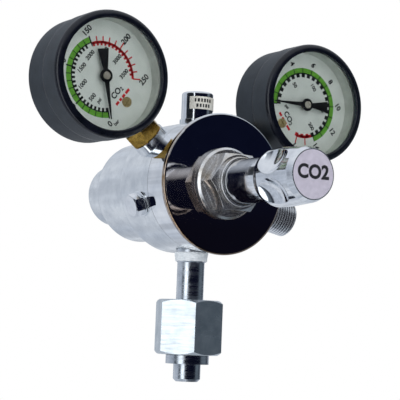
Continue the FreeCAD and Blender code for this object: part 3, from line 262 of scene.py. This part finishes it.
def polished_flange():
    """Chrome with a painted warm reflection low down on its front face, with a brown film round the rim on
    the left.
    """
    look = metal("bonnet_chrome", CHROME_DULL, CHROME_BRIGHT, 0.02, 0.07, wave=0.004)
    brown = (0.30, 0.17, 0.06)
    warm_reflection = (0.95, 0.58, 0.34)
    x = look.axis("X")
    z = look.math("SUBTRACT", look.axis("Z"), MAIN_AXIS_MM)
    radius = look.distance(x, z)
    on_rim = look.remap(radius, 0.0, 1.0, FLANGE_RADIUS_MM - 1.1, FLANGE_RADIUS_MM - 0.2)
    slanted = look.math("ADD", x, look.math("MULTIPLY", z, 0.4))
    on_left = look.remap(slanted, 1.0, 0.0, -22.0, -2.0)
    patchy = look.remap(look.noise(3, detail=4), 0.45, 1.0)
    film = look.math("MULTIPLY", look.math("MULTIPLY", on_rim, on_left), patchy)
    # Painted warm reflection: the front face's colour turns warm towards the bottom.
    low_down = look.remap(z, 0.75, 0.0, -20.0, 12.0)
    in_front = look.math("LESS_THAN", look.axis("Y"), FLANGE_FRONT_MM + 0.5)
    reflection_tinted = look.mixed(look.math("MULTIPLY", low_down, in_front), look.source("Base Color"), warm_reflection)
    return look.set(Base_Color=look.mixed(film, reflection_tinted, brown))


def jointed_body():
    """Satin chrome with a thin dark joint where the body meets the bonnet."""
    look = metal("chrome_satin", (0.74, 0.77, 0.81), (0.93, 0.95, 0.97), 0.10, 0.26)
    distance = look.math("ABSOLUTE", look.math("SUBTRACT", look.axis("Y"), BODY_JOINT_MM))
    line = look.remap(distance, 0.85, 0.0, 0.10, 0.32)
    share = look.math("MULTIPLY", line, look.remap(look.noise(4), 0.5, 1.0))
    return look.set(Base_Color=look.mixed(share, look.source("Base Color"), (0.06, 0.06, 0.07)))


def black_bezel():
    """Gloss black in front, the case's satin slate round its side, and a dark joint where they meet."""
    look = painted("bezel_black", (0.002, 0.003, 0.006), (0.005, 0.006, 0.012), 0.20, grain=0.4)
    _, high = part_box("high_gauge_bezel")
    split = look.add("ShaderNodeSeparateXYZ")
    look.link(look.add("ShaderNodeNewGeometry").outputs["Normal"], split.inputs["Vector"])
    sideways = look.math("SUBTRACT", 1.0, look.math("ABSOLUTE", split.outputs["Y"]))
    clear_of_joint = look.math("LESS_THAN", look.axis("Y"), high.y / MM - BEZEL_JOINT_MM)
    share = look.math("MULTIPLY", look.remap(sideways, 0.0, 1.0, 0.90, 0.97), clear_of_joint)
    slate = look.ramp(look.noise(6, detail=4), (0.35, CASE_DARK), (0.65, CASE_LIGHT))
    rougher = look.math("MULTIPLY", share, 0.28)
    return look.set(
        Base_Color=look.mixed(share, look.source("Base Color"), slate),
        Roughness=look.math("ADD", look.source("Roughness"), rougher),
    )


def threaded_outlet():
    """Chrome whose thread is dark in its roots and plain chrome on its crests."""
    look = metal("thread_chrome", CHROME_DULL, CHROME_BRIGHT, 0.10, 0.24, edge=0.04, bare=0.85)
    root_colour = (0.05, 0.055, 0.07)
    height = look.math("SUBTRACT", look.axis("Z"), MAIN_AXIS_MM)
    across = look.math(
        "ADD",
        look.math("MULTIPLY", look.axis("X"), -math.sin(OUTLET_ANGLE)),
        look.math("MULTIPLY", height, math.cos(OUTLET_ANGLE)),
    )
    radius = look.distance(across, look.axis("Y"))
    # The thread's roots are coloured dark and its crests keep the plain chrome.
    crest = look.remap(radius, 0.0, 1.0, THREAD_ROOT_MM, THREAD_CREST_MM)
    return look.set(Base_Color=look.mixed(crest, root_colour, look.source("Base Color")))


def clear_lens():
    """Thin clear plastic: see-through, with a faint reflection and faint smears."""
    look = Look("lens_clear")
    through = look.add("ShaderNodeBsdfTransparent")
    through.inputs["Color"].default_value = (0.97, 0.985, 0.98, 1)
    gloss = look.add("ShaderNodeBsdfGlossy")
    look.link(look.remap(look.noise(3, detail=4), 0.02, 0.10), gloss.inputs["Roughness"])
    facing = look.add("ShaderNodeFresnel")
    facing.inputs["IOR"].default_value = 1.35
    smear = look.remap(look.noise(5, detail=5), 0.7, 1.1)
    reflection = look.math("MULTIPLY", facing.outputs["Fac"], smear)
    look.finish_with(look.blended(reflection, through.outputs["BSDF"], gloss.outputs["BSDF"]))
    return look


def fibrous(name, dark, light, roughness=0.85):
    """Paper or tape: a pale surface with fine crossed fibres."""
    look = Look(name)
    along = look.noise(0.25, detail=4, stretch=(6, 6, 0.6))
    across = look.noise(0.25, detail=4, stretch=(0.6, 0.6, 5))
    fibres = look.math("ADD", along, across)
    return look.set(
        Base_Color=look.ramp(look.noise(2.5, detail=5), (0.32, dark), (0.68, light)),
        Roughness=look.remap(along, roughness - 0.08, roughness + 0.05),
        Sheen_Weight=0.1,
        Normal=look.bump(fibres, 0.05, 0.5),
    )


def printed(name, colour):
    """Ink: one colour, slightly uneven, with a dull sheen."""
    look = Look(name)
    lighter = tuple(min(1.0, channel * 1.35 + 0.01) for channel in colour)
    return look.set(
        Base_Color=look.ramp(look.noise(1.2, detail=5), (0.35, colour), (0.75, lighter)),
        Roughness=look.remap(look.noise(0.4), 0.45, 0.65),
    )


CHROME = metal("chrome", (0.78, 0.80, 0.84), CHROME_BRIGHT, 0.04, 0.16, wave=0.02)
SATIN = jointed_body()
THREAD = threaded_outlet()
NUT = metal(
    "nut_chrome", (0.62, 0.56, 0.48), (0.90, 0.90, 0.91), 0.05, 0.30, wave=0.03, edge=0.3, bare=0.93
)
FLANGE = polished_flange()
KNOB = metal("knob_chrome", CHROME_DULL, (0.95, 0.96, 0.98), 0.03, 0.12, wave=0.02, edge=0.35)
ZINC = metal(
    "zinc_plate", (0.62, 0.68, 0.72), (0.88, 0.92, 0.94), 0.24, 0.42, wave=0.01, stretch=(6, 6, 0.5)
)
STEM = metal("stem_plate", (0.56, 0.60, 0.65), (0.82, 0.85, 0.89), 0.18, 0.36, stretch=(8, 8, 0.5))
STEEL = metal("steel", (0.42, 0.42, 0.44), (0.66, 0.67, 0.70), 0.18, 0.36)
BRASS = metal("brass", (0.28, 0.15, 0.025), (0.62, 0.39, 0.09), 0.14, 0.36, wave=0.02)
CAP = metal("pointer_cap_metal", (0.40, 0.35, 0.28), (0.70, 0.65, 0.57), 0.16, 0.32, bare=0.4)
SCREW = metal("screw_brass", (0.34, 0.24, 0.10), (0.62, 0.50, 0.26), 0.2, 0.4, bare=0.4)
RUBBER = painted("rubber", (0.012, 0.012, 0.013), (0.03, 0.03, 0.032), 0.7)
CASE = painted("case_black", CASE_DARK, CASE_LIGHT, 0.48, grain=0.3, depth=0.02, gloss=0.4)
BEZEL = black_bezel()
SPACER = painted("spacer_white", (0.60, 0.62, 0.58), (0.74, 0.76, 0.72), 0.5)
DIAL = painted("dial_white", (0.74, 0.765, 0.72), (0.82, 0.84, 0.80), 0.55, grain=0.25, depth=0.004)
POINTER = painted("pointer_black", (0.006, 0.006, 0.007), (0.016, 0.016, 0.018), 0.4, edge=0.1)
KNOB_PAPER = fibrous("label_lilac", (0.47, 0.435, 0.51), (0.55, 0.51, 0.59))
BAND_PAPER = fibrous("label_cream", (0.66, 0.63, 0.55), (0.82, 0.80, 0.73))
TAPE = fibrous("thread_tape_white", (0.74, 0.78, 0.80), (0.92, 0.94, 0.95), roughness=0.75)
BLACK_PRINT = printed("ink_black", BLACK_INK)
GREEN_PRINT = printed("ink_green", GREEN_INK)
RED_PRINT = printed("ink_red", RED_INK)

GAUGE_FINISHES = {
    "case": CASE,
    "bezel": BEZEL,
    "lens": clear_lens(),
    "spacer": SPACER,
    "dial": DIAL,
    "socket": BRASS,
    "bourdon_tube": BRASS,
    "movement": BRASS,
    "arbor": BRASS,
    "sector": BRASS,
    "link": BRASS,
    "pointer": POINTER,
    "pointer_cap": CAP,
}
FINISHES = {
    "bonnet": FLANGE,
    "bonnet_nut": NUT,
    "knob_sleeve": CHROME,
    "knob": KNOB,
    "knob_label": KNOB_PAPER,
    "valve_body": SATIN,
    "rear_cap": SATIN,
    "side_plug": CHROME,
    "outlet_fitting": THREAD,
    "safety_housing": CHROME,
    "safety_label": BAND_PAPER,
    "inlet_stem": STEM,
    "union_nut": ZINC,
    "thread_tape": TAPE,
    "diaphragm": RUBBER,
    "screw_bushing": BRASS,
    "seat_nozzle": BRASS,
    "poppet": BRASS,
    "safety_adjuster": BRASS,
    "safety_poppet": BRASS,
    "dial_screws": SCREW,
}


def dress(thing, look):
    """Give an object one finish."""
    thing.data.materials.clear()
    thing.data.materials.append(look.material)


for name, node in nodes.items():
    part = name.partition("_gauge_")[2]
    dress(node, GAUGE_FINISHES[part] if part else FINISHES.get(name, STEEL))


# ---- meshes ----------------------------------------------------------------------------------

DIGIT_SHARE = 0.69  # height of a digit over the font's size
INK_LIFT = 0.06 * MM  # how far print stands off its surface


def add_mesh(name, corners, faces, look, body):
    """A mesh piece in the part's frame that rides on a body."""
    mesh = bpy.data.meshes.new(name)
    mesh.from_pydata(corners, [], faces)
    mesh.validate()
    mesh.update()
    piece = bpy.data.objects.new(name, mesh)
    scene.collection.objects.link(piece)
    dress(piece, look)
    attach(piece, body)
    return piece


def add_hoop(name, rings, look, body):
    """A hoop through rings of points, each joined to the next and the last to the first."""
    around = len(rings[0])
    corners = [corner for ring in rings for corner in ring]
    faces = []
    for index in range(len(rings)):
        here = index * around
        other = (index + 1) % len(rings) * around
        for step in range(around):
            following = (step + 1) % around
            faces.append((here + step, here + following, other + following, other + step))
    return add_mesh(name, corners, faces, look, body)


def letters(text, height, weight):
    """Corners and faces of a centred line of text.

    Its digits are this many mm high, and its strokes grow on each side by this share of the height.
    """
    curve = bpy.data.curves.new("letters", "FONT")
    curve.body = text
    curve.align_x = "CENTER"
    curve.align_y = "CENTER"
    curve.resolution_u = 4
    curve.size = height / DIGIT_SHARE
    curve.offset = weight * height
    thing = bpy.data.objects.new("letters", curve)
    scene.collection.objects.link(thing)
    graph = bpy.context.evaluated_depsgraph_get()
    mesh = bpy.data.meshes.new_from_object(thing.evaluated_get(graph))
    corners = [corner.co.copy() for corner in mesh.vertices]
    faces = [tuple(face.vertices) for face in mesh.polygons]
    bpy.data.objects.remove(thing)
    bpy.data.meshes.remove(mesh)
    return corners, faces


class Print:
    """One colour of print on a flat surface that faces the front, laid out in mm from its centre."""

    def __init__(self, centre, surface_y, layer=1):
        self.centre = centre
        self.y = surface_y - layer * INK_LIFT
        self.corners = []
        self.faces = []

    def point(self, x, z):
        return Vector((self.centre.x + x * MM, self.y, self.centre.z + z * MM))

    def polar(self, radius, angle):
        """A point at this radius and angle, counter-clockwise from +X seen from the front."""
        turn = math.radians(angle)
        return self.point(radius * math.cos(turn), radius * math.sin(turn))

    def face(self, corners):
        start = len(self.corners)
        self.corners += corners
        self.faces.append(tuple(range(start, start + len(corners))))

    def arc(self, inner, outer, first, last):
        """A band between two radii, from one angle to another."""
        steps = max(2, math.ceil(abs(last - first) / 2.5))
        angles = [first + (last - first) * step / steps for step in range(steps + 1)]
        for start, end in zip(angles, angles[1:]):
            self.face(
                [
                    self.polar(inner, start),
                    self.polar(outer, start),
                    self.polar(outer, end),
                    self.polar(inner, end),
                ]
            )

    def tick(self, angle, inner, outer, width):
        """A straight radial line."""
        turn = math.radians(angle)
        across = Vector((-math.sin(turn), 0, math.cos(turn))) * (width * MM / 2)
        near = self.polar(inner, angle)
        far = self.polar(outer, angle)
        self.face([near - across, far - across, far + across, near + across])

    def strip(self, start, end, width):
        """A straight bar between two (x, z) points."""
        across = Vector((start.y - end.y, end.x - start.x, 0)).normalized() * (width / 2)
        ends = (start - across, end - across, end + across, start + across)
        self.face([self.point(spot.x, spot.y) for spot in ends])

    def text(self, words, height, radius, angle, lean, weight=0.045):
        """Text centred at a radius and angle, leaning counter-clockwise from upright."""
        corners, faces = letters(words, height, weight)
        turn = Matrix.Rotation(math.radians(lean), 4, FRONT) @ Matrix.Rotation(math.radians(90), 4, "X")
        middle = self.polar(radius, angle)
        start = len(self.corners)
        self.corners += [middle + (turn @ corner) * MM for corner in corners]
        self.faces += [tuple(start + index for index in face) for face in faces]

    def make(self, name, look, body):
        return add_mesh(name, self.corners, self.faces, look, body)


# ---- dials -----------------------------------------------------------------------------------

PSI_PER_BAR = 14.504
NUMBER_HEIGHT = 2.4
GAS_LETTERS = (("CO", 2.5, -0.9, 0.0), ("2", 1.7, 2.5, -0.7))  # words, height, shift along and across
DASHES = ((-4.8, -2.8), (-2.2, -0.8), (-0.2, 1.6), (2.2, 4.8))  # ends along their row
DASH_WIDTH = 1.2


@dataclass
class Scale:
    """A dial's scale of bars, with psi marks inside it.

    Sizes are in mm and angles in degrees, counter-clockwise from +X seen from the front. A band is
    (inner radius, outer radius), a tick is (inner radius, outer radius, width), a word is
    (words, height, radius, angle from the start), and a spot is (radius, angle).
    """

    gauge: str
    start: float  # angle of zero
    per_bar: float  # degrees, clockwise
    lean: float  # of all the lettering, counter-clockwise
    safe: int  # bars where green ends and red starts
    full: int  # bars at the end
    minor: int  # bars between ticks
    major: int  # bars between long ticks
    green_band: tuple
    red_band: tuple
    line: tuple
    tick: tuple
    long_tick: tuple
    red_tick: tuple
    long_red_tick: tuple
    black_block: tuple
    red_block: tuple
    block_bars: float  # length of each psi block
    black_psi: range  # where the psi blocks are
    red_psi: range
    numbers: range  # bars that carry a number
    number_radius: float
    number_weight: float
    psi_numbers: range
    psi_number_height: float
    psi_number_radius: float
    units: tuple  # words
    gas: tuple  # spot
    advice: tuple  # spot

    def angle(self, bar):
        return self.start - self.per_bar * bar

    def psi_angle(self, psi):
        return self.angle(psi / PSI_PER_BAR)


CYLINDER_SCALE = Scale(
    gauge="high_gauge",
    start=-77.0,
    per_bar=56.0 / 50,
    lean=52.0,
    safe=150,
    full=250,
    minor=10,
    major=50,
    green_band=(15.3, 17.6),
    red_band=(14.0, 15.2),
    line=(14.8, 15.3),
    tick=(15.0, 17.7, 0.35),
    long_tick=(13.4, 18.0, 0.6),
    red_tick=(14.6, 17.2, 0.6),
    long_red_tick=(14.6, 18.4, 0.6),
    black_block=(13.4, 15.2),
    red_block=(13.2, 15.0),
    block_bars=3.8,
    black_psi=range(0, 2001, 100),
    red_psi=range(2200, 3501, 100),
    numbers=range(0, 251, 50),
    number_radius=20.3,
    number_weight=0.045,
    psi_numbers=range(500, 3501, 500),
    psi_number_height=1.75,
    psi_number_radius=10.5,
    units=(("psi", 1.5, 10.6, -20), ("bar", 1.5, 20.4, 9)),
    gas=(9.3, -38),
    advice=(12.6, -37),
)
OUTLET_SCALE = Scale(
    gauge="low_gauge",
    start=183.0,
    per_bar=17.85,
    lean=-52.0,
    safe=14,
    full=16,
    minor=1,
    major=2,
    green_band=(15.0, 17.4),
    red_band=(13.8, 15.2),
    line=(14.6, 15.2),
    tick=(14.9, 17.5, 0.4),
    long_tick=(14.9, 17.5, 0.4),
    red_tick=(14.4, 18.2, 0.6),
    long_red_tick=(14.4, 18.2, 0.6),
    black_block=(13.1, 15.0),
    red_block=(13.2, 15.0),
    block_bars=0.42,
    black_psi=range(0, 201, 10),
    red_psi=range(210, 231, 10),
    numbers=range(0, 17, 2),
    number_radius=19.9,
    number_weight=0.055,
    psi_numbers=range(50, 201, 50),
    psi_number_height=1.8,
    psi_number_radius=10.4,
    units=(("psi", 1.4, 9.6, 7), ("bar", 1.4, 19.4, 9)),
    gas=(10.7, -139),
    advice=(13.5, -141),
)


def print_marks(scale, black, green, red):
    """The bands, ticks and psi blocks, green and black up to the safe pressure and red above it."""
    zero, safe, full = (scale.angle(bar) for bar in (0, scale.safe, scale.full))
    block_angle = scale.per_bar * scale.block_bars
    green.arc(*scale.green_band, zero, safe)
    black.arc(*scale.line, zero, safe)
    red.arc(*scale.red_band, safe, full)
    for bar in range(0, scale.safe + 1, scale.minor):
        black.tick(scale.angle(bar), *(scale.tick if bar % scale.major else scale.long_tick))
    for bar in range(scale.safe + scale.minor, scale.full + 1, scale.minor):
        red.tick(scale.angle(bar), *(scale.red_tick if bar % scale.major else scale.long_red_tick))
    for ink, band, places in (
        (black, scale.black_block, scale.black_psi),
        (red, scale.red_block, scale.red_psi),
    ):
        for psi in places:
            start = scale.psi_angle(psi)
            ink.arc(*band, start, start - block_angle)


def print_numbers(scale, black):
    """The numbers in bar outside the scale, those in psi inside it, and both units."""
    for bar in scale.numbers:
        angle = scale.angle(bar)
        black.text(str(bar), NUMBER_HEIGHT, scale.number_radius, angle, scale.lean, scale.number_weight)
    for psi in scale.psi_numbers:
        angle = scale.psi_angle(psi)
        black.text(str(psi), scale.psi_number_height, scale.psi_number_radius, angle, scale.lean)
    for words, height, radius, angle in scale.units:
        black.text(words, height, radius, scale.start + angle, scale.lean)


def print_lettering(scale, black, red):
    """The gas formula, and a row of plain red dashes."""
    lean = math.radians(scale.lean)
    along = Vector((math.cos(lean), math.sin(lean), 0))
    across = Vector((-math.sin(lean), math.cos(lean), 0))
    radius, angle = scale.gas
    middle = round_point(radius, math.radians(angle), 0)
    for words, height, shift, rise in GAS_LETTERS:
        spot = middle + along * shift + across * rise
        black.text(words, height, spot.length, math.degrees(math.atan2(spot.y, spot.x)), scale.lean)
    radius, angle = scale.advice
    middle = round_point(radius, math.radians(angle), 0)
    for start, end in DASHES:
        red.strip(middle + along * start, middle + along * end, DASH_WIDTH)


def print_dial(scale):
    """All the print of one dial: black on top of green and red."""
    dial = f"{scale.gauge}_dial"
    low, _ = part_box(dial)
    black, green, red = (Print(middle_of(dial), low.y, layer) for layer in (2, 1, 1))
    print_marks(scale, black, green, red)
    print_numbers(scale, black)
    print_lettering(scale, black, red)
    for ink, colour, look in (
        (black, "black", BLACK_PRINT),
        (green, "green", GREEN_PRINT),
        (red, "red", RED_PRINT),
    ):
        ink.make(f"{scale.gauge}_print_{colour}", look, "regulator")


print_dial(CYLINDER_SCALE)
print_dial(OUTLET_SCALE)


# ---- labels ----------------------------------------------------------------------------------


def print_knob_label():
    """The gas formula on the round label of the knob."""
    low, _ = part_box("knob_label")
    ink = Print(middle_of("knob_label"), low.y)
    ink.text("CO2", 5.3, 0.7, 95, 1, 0.055)
    ink.make("knob_print", BLACK_PRINT, "knob")


BAND_RADIUS_MM = 7.2
BAND_DASH_MM = 1.5  # height of each dash
BAND_GAP = 4.5  # degrees between dashes
# Rows of dashes: height as a share of the band's, first angle and the dashes' widths in degrees.
BAND_ROWS = ((0.70, 228.0, (5.5, 8.0, 6.0, 7.0, 6.0, 7.5)), (0.28, 234.0, (7.5, 6.5, 5.0, 7.5, 6.5)))


def print_safety_band():
    """Two rows of plain dashes round the paper band of the safety valve."""
    low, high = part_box("safety_label")
    radius = BAND_RADIUS_MM * MM + INK_LIFT
    half = BAND_DASH_MM * MM / 2
    slices = 3
    corners = []
    faces = []
    for share, angle, widths in BAND_ROWS:
        middle = low.z + share * (high.z - low.z)
        for width in widths:
            first = len(corners)
            for step in range(slices + 1):
                turn = math.radians(angle + width * step / slices)
                corners += [round_point(radius, turn, z) for z in (middle - half, middle + half)]
            for foot in range(first, first + 2 * slices, 2):
                faces.append((foot, foot + 2, foot + 3, foot + 1))
            angle += width + BAND_GAP
    add_mesh("safety_band_print", corners, faces, BLACK_PRINT, "regulator")


print_knob_label()
print_safety_band()


# ---- thread tape -----------------------------------------------------------------------------

TAPE_INNER_MM = 6.6
TAPE_WINDINGS = 5
TAPE_RINGS = 26
TAPE_AROUND = 120


def tape_radius(height, turn):
    """The tape's rough outside in metres, at a share of its height and an angle about the stem.

    The layers get thicker upwards, the roughness is coarse and fine, and the windings leave grooves.
    """
    spot = round_point(3, turn, 9 * height + turn * 0.3)
    thick = 0.42 + 0.5 * height
    rough = noise.noise(spot * 1.3) * 0.16 + noise.noise(spot * 4.1) * 0.10
    grooves = 0.12 * abs(math.sin(math.pi * (TAPE_WINDINGS * height + turn / (2 * math.pi))))
    return (TAPE_INNER_MM + thick + rough - grooves) * MM


def wrap_tape():
    """The white tape bunched round the inlet stem's thread, ragged at both ends."""
    low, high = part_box("thread_tape")
    turns = [2 * math.pi * step / TAPE_AROUND for step in range(TAPE_AROUND)]
    rings = []
    for index in range(TAPE_RINGS):
        height = index / (TAPE_RINGS - 1)
        at_end = height in (0, 1)
        ring = []
        for turn in turns:
            ragged = noise.noise(round_point(5, turn, 7)) * 0.3 * MM if at_end else 0.0
            z = low.z + height * (high.z - low.z) + ragged
            ring.append(round_point(tape_radius(height, turn), turn, z))
        rings.append(ring)
    for z in (high.z, low.z):
        rings.append([round_point(TAPE_INNER_MM * MM, turn, z) for turn in turns])
    tape = add_hoop("tape_wrap", rings, TAPE, "regulator")
    tape.data.shade_smooth()
    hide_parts("thread_tape")


wrap_tape()


# ---- soft pieces -----------------------------------------------------------------------------

DIAPHRAGM_MM = 24.0  # radius
CLAMPED_MM = 16.8  # radius inside which the diaphragm is free


def shortening_spring(node, axis):
    """A still copy of a spring, riding on the regulator in place of its CAD node; it does not shorten."""
    axis = Vector(axis)
    spring = bpy.data.objects.new(f"{node}_coil", nodes[node].data.copy())
    scene.collection.objects.link(spring)
    spring.matrix_world = nodes[node].matrix_world.copy()
    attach(spring, "regulator")
    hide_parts(node)
    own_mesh(spring)


def rubber_ring(name, inner, outer, body):
    """A flat ring of the diaphragm between two radii in mm, riding on a body."""
    low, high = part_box("diaphragm")
    middle = middle_of("diaphragm")
    around = 96
    rings = []
    for radius, y in ((inner, high.y), (outer, high.y), (outer, low.y), (inner, low.y)):
        ring = []
        for step in range(around):
            turn = 2 * math.pi * step / around
            x = middle.x + radius * MM * math.cos(turn)
            ring.append(Vector((x, y, middle.z + radius * MM * math.sin(turn))))
        rings.append(ring)
    return add_hoop(name, rings, RUBBER, body)


def soften():
    """The springs become still copies, and the diaphragm is split: its middle rides on its plate while its
    rim stays clamped.
    """
    shortening_spring("main_spring", (0, 1, 0))
    shortening_spring("poppet_spring", (0, 1, 0))
    shortening_spring("safety_spring", (0, 0, 1))
    rim = rubber_ring("diaphragm_rim", CLAMPED_MM, DIAPHRAGM_MM, "regulator")
    rubber_ring("diaphragm_middle", 0.5, CLAMPED_MM - 0.1, "diaphragm_plate")
    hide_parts("diaphragm")


soften()


# ---- studio ----------------------------------------------------------------------------------

FLOOR_LEVEL = -0.25
FLOOR_RADIUS = 30

NAVY = (0.003, 0.004, 0.013)
SLATE = (0.13, 0.16, 0.19)
PALE = (0.50, 0.55, 0.63)
WHITE = (0.66, 0.70, 0.76)
LAMP = (1.7, 1.8, 1.9)

# What reflections find round the horizon: bearing in degrees, counter-clockwise from +X, and colour.
HORIZON = (
    (-180, SLATE),
    (-173, SLATE),
    (-171, LAMP),
    (-146, LAMP),
    (-142, NAVY),
    (-48, NAVY),
    (-42, SLATE),
    (-8, SLATE),
    (10, NAVY),
    (30, PALE),
    (62, WHITE),
    (84, PALE),
    (112, WHITE),
    (128, PALE),
    (162, PALE),
    (168, NAVY),
    (180, SLATE),
)


def add_floor():
    """A wide pale floor well below the part."""
    bpy.ops.mesh.primitive_circle_add(
        vertices=96, radius=FLOOR_RADIUS, fill_type="NGON", location=(0, 0, FLOOR_LEVEL)
    )
    floor = bpy.context.object
    floor.name = "floor"
    floor.visible_glossy = False
    look = Look("floor_pale")
    look.set(
        Base_Color=look.ramp(look.noise(400), (0.3, (0.86, 0.87, 0.88)), (0.7, (0.90, 0.91, 0.92))),
        Roughness=0.9,
    )
    glow = look.add("ShaderNodeEmission")
    seen = look.add("ShaderNodeLightPath").outputs["Is Camera Ray"]
    look.finish_with(look.blended(seen, look.shader.outputs["BSDF"], glow.outputs["Emission"]))
    dress(floor, look)


class Sky(NodeTree):
    """A world's nodes, driven by the direction looked in."""

    def __init__(self, world):
        world.use_nodes = True
        super().__init__(world.node_tree)
        self.tree.nodes.clear()
        self.way = self.add("ShaderNodeTexCoord").outputs["Generated"]

    def background(self, colour):
        """A background shader of one colour, given or linked."""
        node = self.add("ShaderNodeBackground")
        if isinstance(colour, tuple):
            node.inputs["Color"].default_value = (*colour, 1)
        else:
            self.link(colour, node.inputs["Color"])
        return node.outputs["Background"]


def add_sky():
    """White all round for the camera; in reflections, pale panels and a dark room round the horizon."""
    world = bpy.data.worlds.new("studio")
    scene.world = world
    sky = Sky(world)
    split = sky.add("ShaderNodeSeparateXYZ")
    sky.link(sky.way, split.inputs["Vector"])
    bearing = sky.math("ARCTAN2", split.outputs["Y"], split.outputs["X"])
    turn = sky.remap(bearing, 0.0, 1.0, -math.pi, math.pi)
    round_horizon = sky.ramp(turn, *[((degrees + 180) / 360, colour) for degrees, colour in HORIZON])
    cloud = sky.add("ShaderNodeTexNoise")
    cloud.inputs["Scale"].default_value = 9.0
    cloud.inputs["Detail"].default_value = 4.0
    sky.link(sky.way, cloud.inputs["Vector"])
    shade = sky.remap(cloud.outputs["Fac"], 0.0, 0.25, 0.42, 0.62)
    mottled = sky.mixed(shade, round_horizon, NAVY)
    overhead = sky.remap(split.outputs["Z"], 0.0, 1.0, 0.35, 0.75)
    reflected = sky.background(sky.mixed(overhead, mottled, WHITE))
    plain = sky.background((1, 1, 1))
    seen = sky.add("ShaderNodeLightPath").outputs["Is Camera Ray"]
    output = sky.add("ShaderNodeOutputWorld")
    sky.link(sky.blended(seen, reflected, plain), output.inputs["Surface"])


def add_soft_light(name, place, aim, width, height, power):
    """A rectangular soft light that aims at a point; polished metal reflects the sky alone."""
    lamp = bpy.data.lights.new(name, "AREA")
    lamp.shape = "RECTANGLE"
    lamp.size = width
    lamp.size_y = height
    lamp.energy = power
    light = bpy.data.objects.new(name, lamp)
    scene.collection.objects.link(light)
    light.visible_glossy = False
    light.location = place
    light.rotation_euler = (Vector(aim) - Vector(place)).to_track_quat("-Z", "Y").to_euler()


CAMERA_PLACE_MM = Vector((-354.31, -552.32, 13.93))
CAMERA_AZIMUTH = math.radians(-32.931)
CAMERA_ELEVATION = math.radians(-5.096)
CAMERA_ROLL = math.radians(2.265)
FOCAL_LENGTH_MM = 133.65
SENSOR_WIDTH_MM = 36


def add_camera():
    """The camera, below the part's middle and to the left of its axis, looking slightly up."""
    back = Vector(
        (
            math.sin(CAMERA_AZIMUTH) * math.cos(CAMERA_ELEVATION),
            -math.cos(CAMERA_AZIMUTH) * math.cos(CAMERA_ELEVATION),
            math.sin(CAMERA_ELEVATION),
        )
    )
    level = Vector((math.cos(CAMERA_AZIMUTH), math.sin(CAMERA_AZIMUTH), 0))
    raised = back.cross(level)
    right = level * math.cos(CAMERA_ROLL) + raised * math.sin(CAMERA_ROLL)
    up = raised * math.cos(CAMERA_ROLL) - level * math.sin(CAMERA_ROLL)
    data = bpy.data.cameras.new("camera")
    data.sensor_width = SENSOR_WIDTH_MM
    data.lens = FOCAL_LENGTH_MM
    data.clip_start = 0.01
    data.clip_end = 100
    camera = bpy.data.objects.new("camera", data)
    scene.collection.objects.link(camera)
    turn = Matrix((right, up, back)).transposed().to_4x4()
    camera.matrix_world = Matrix.Translation(CAMERA_PLACE_MM * MM) @ turn
    scene.camera = camera


add_floor()
add_sky()
add_soft_light("left", (-0.95, -0.38, 0.35), aim=(0, 0, 0.05), width=0.5, height=0.9, power=2.5)
add_soft_light("front", (-0.2, -1.1, 0.30), aim=(0, 0, 0.06), width=0.8, height=1.0, power=5)
add_soft_light("top", (0.1, -0.1, 1.1), aim=(0, 0, 0.06), width=0.9, height=0.9, power=2)
add_camera()
scene.view_settings.view_transform = "Standard"
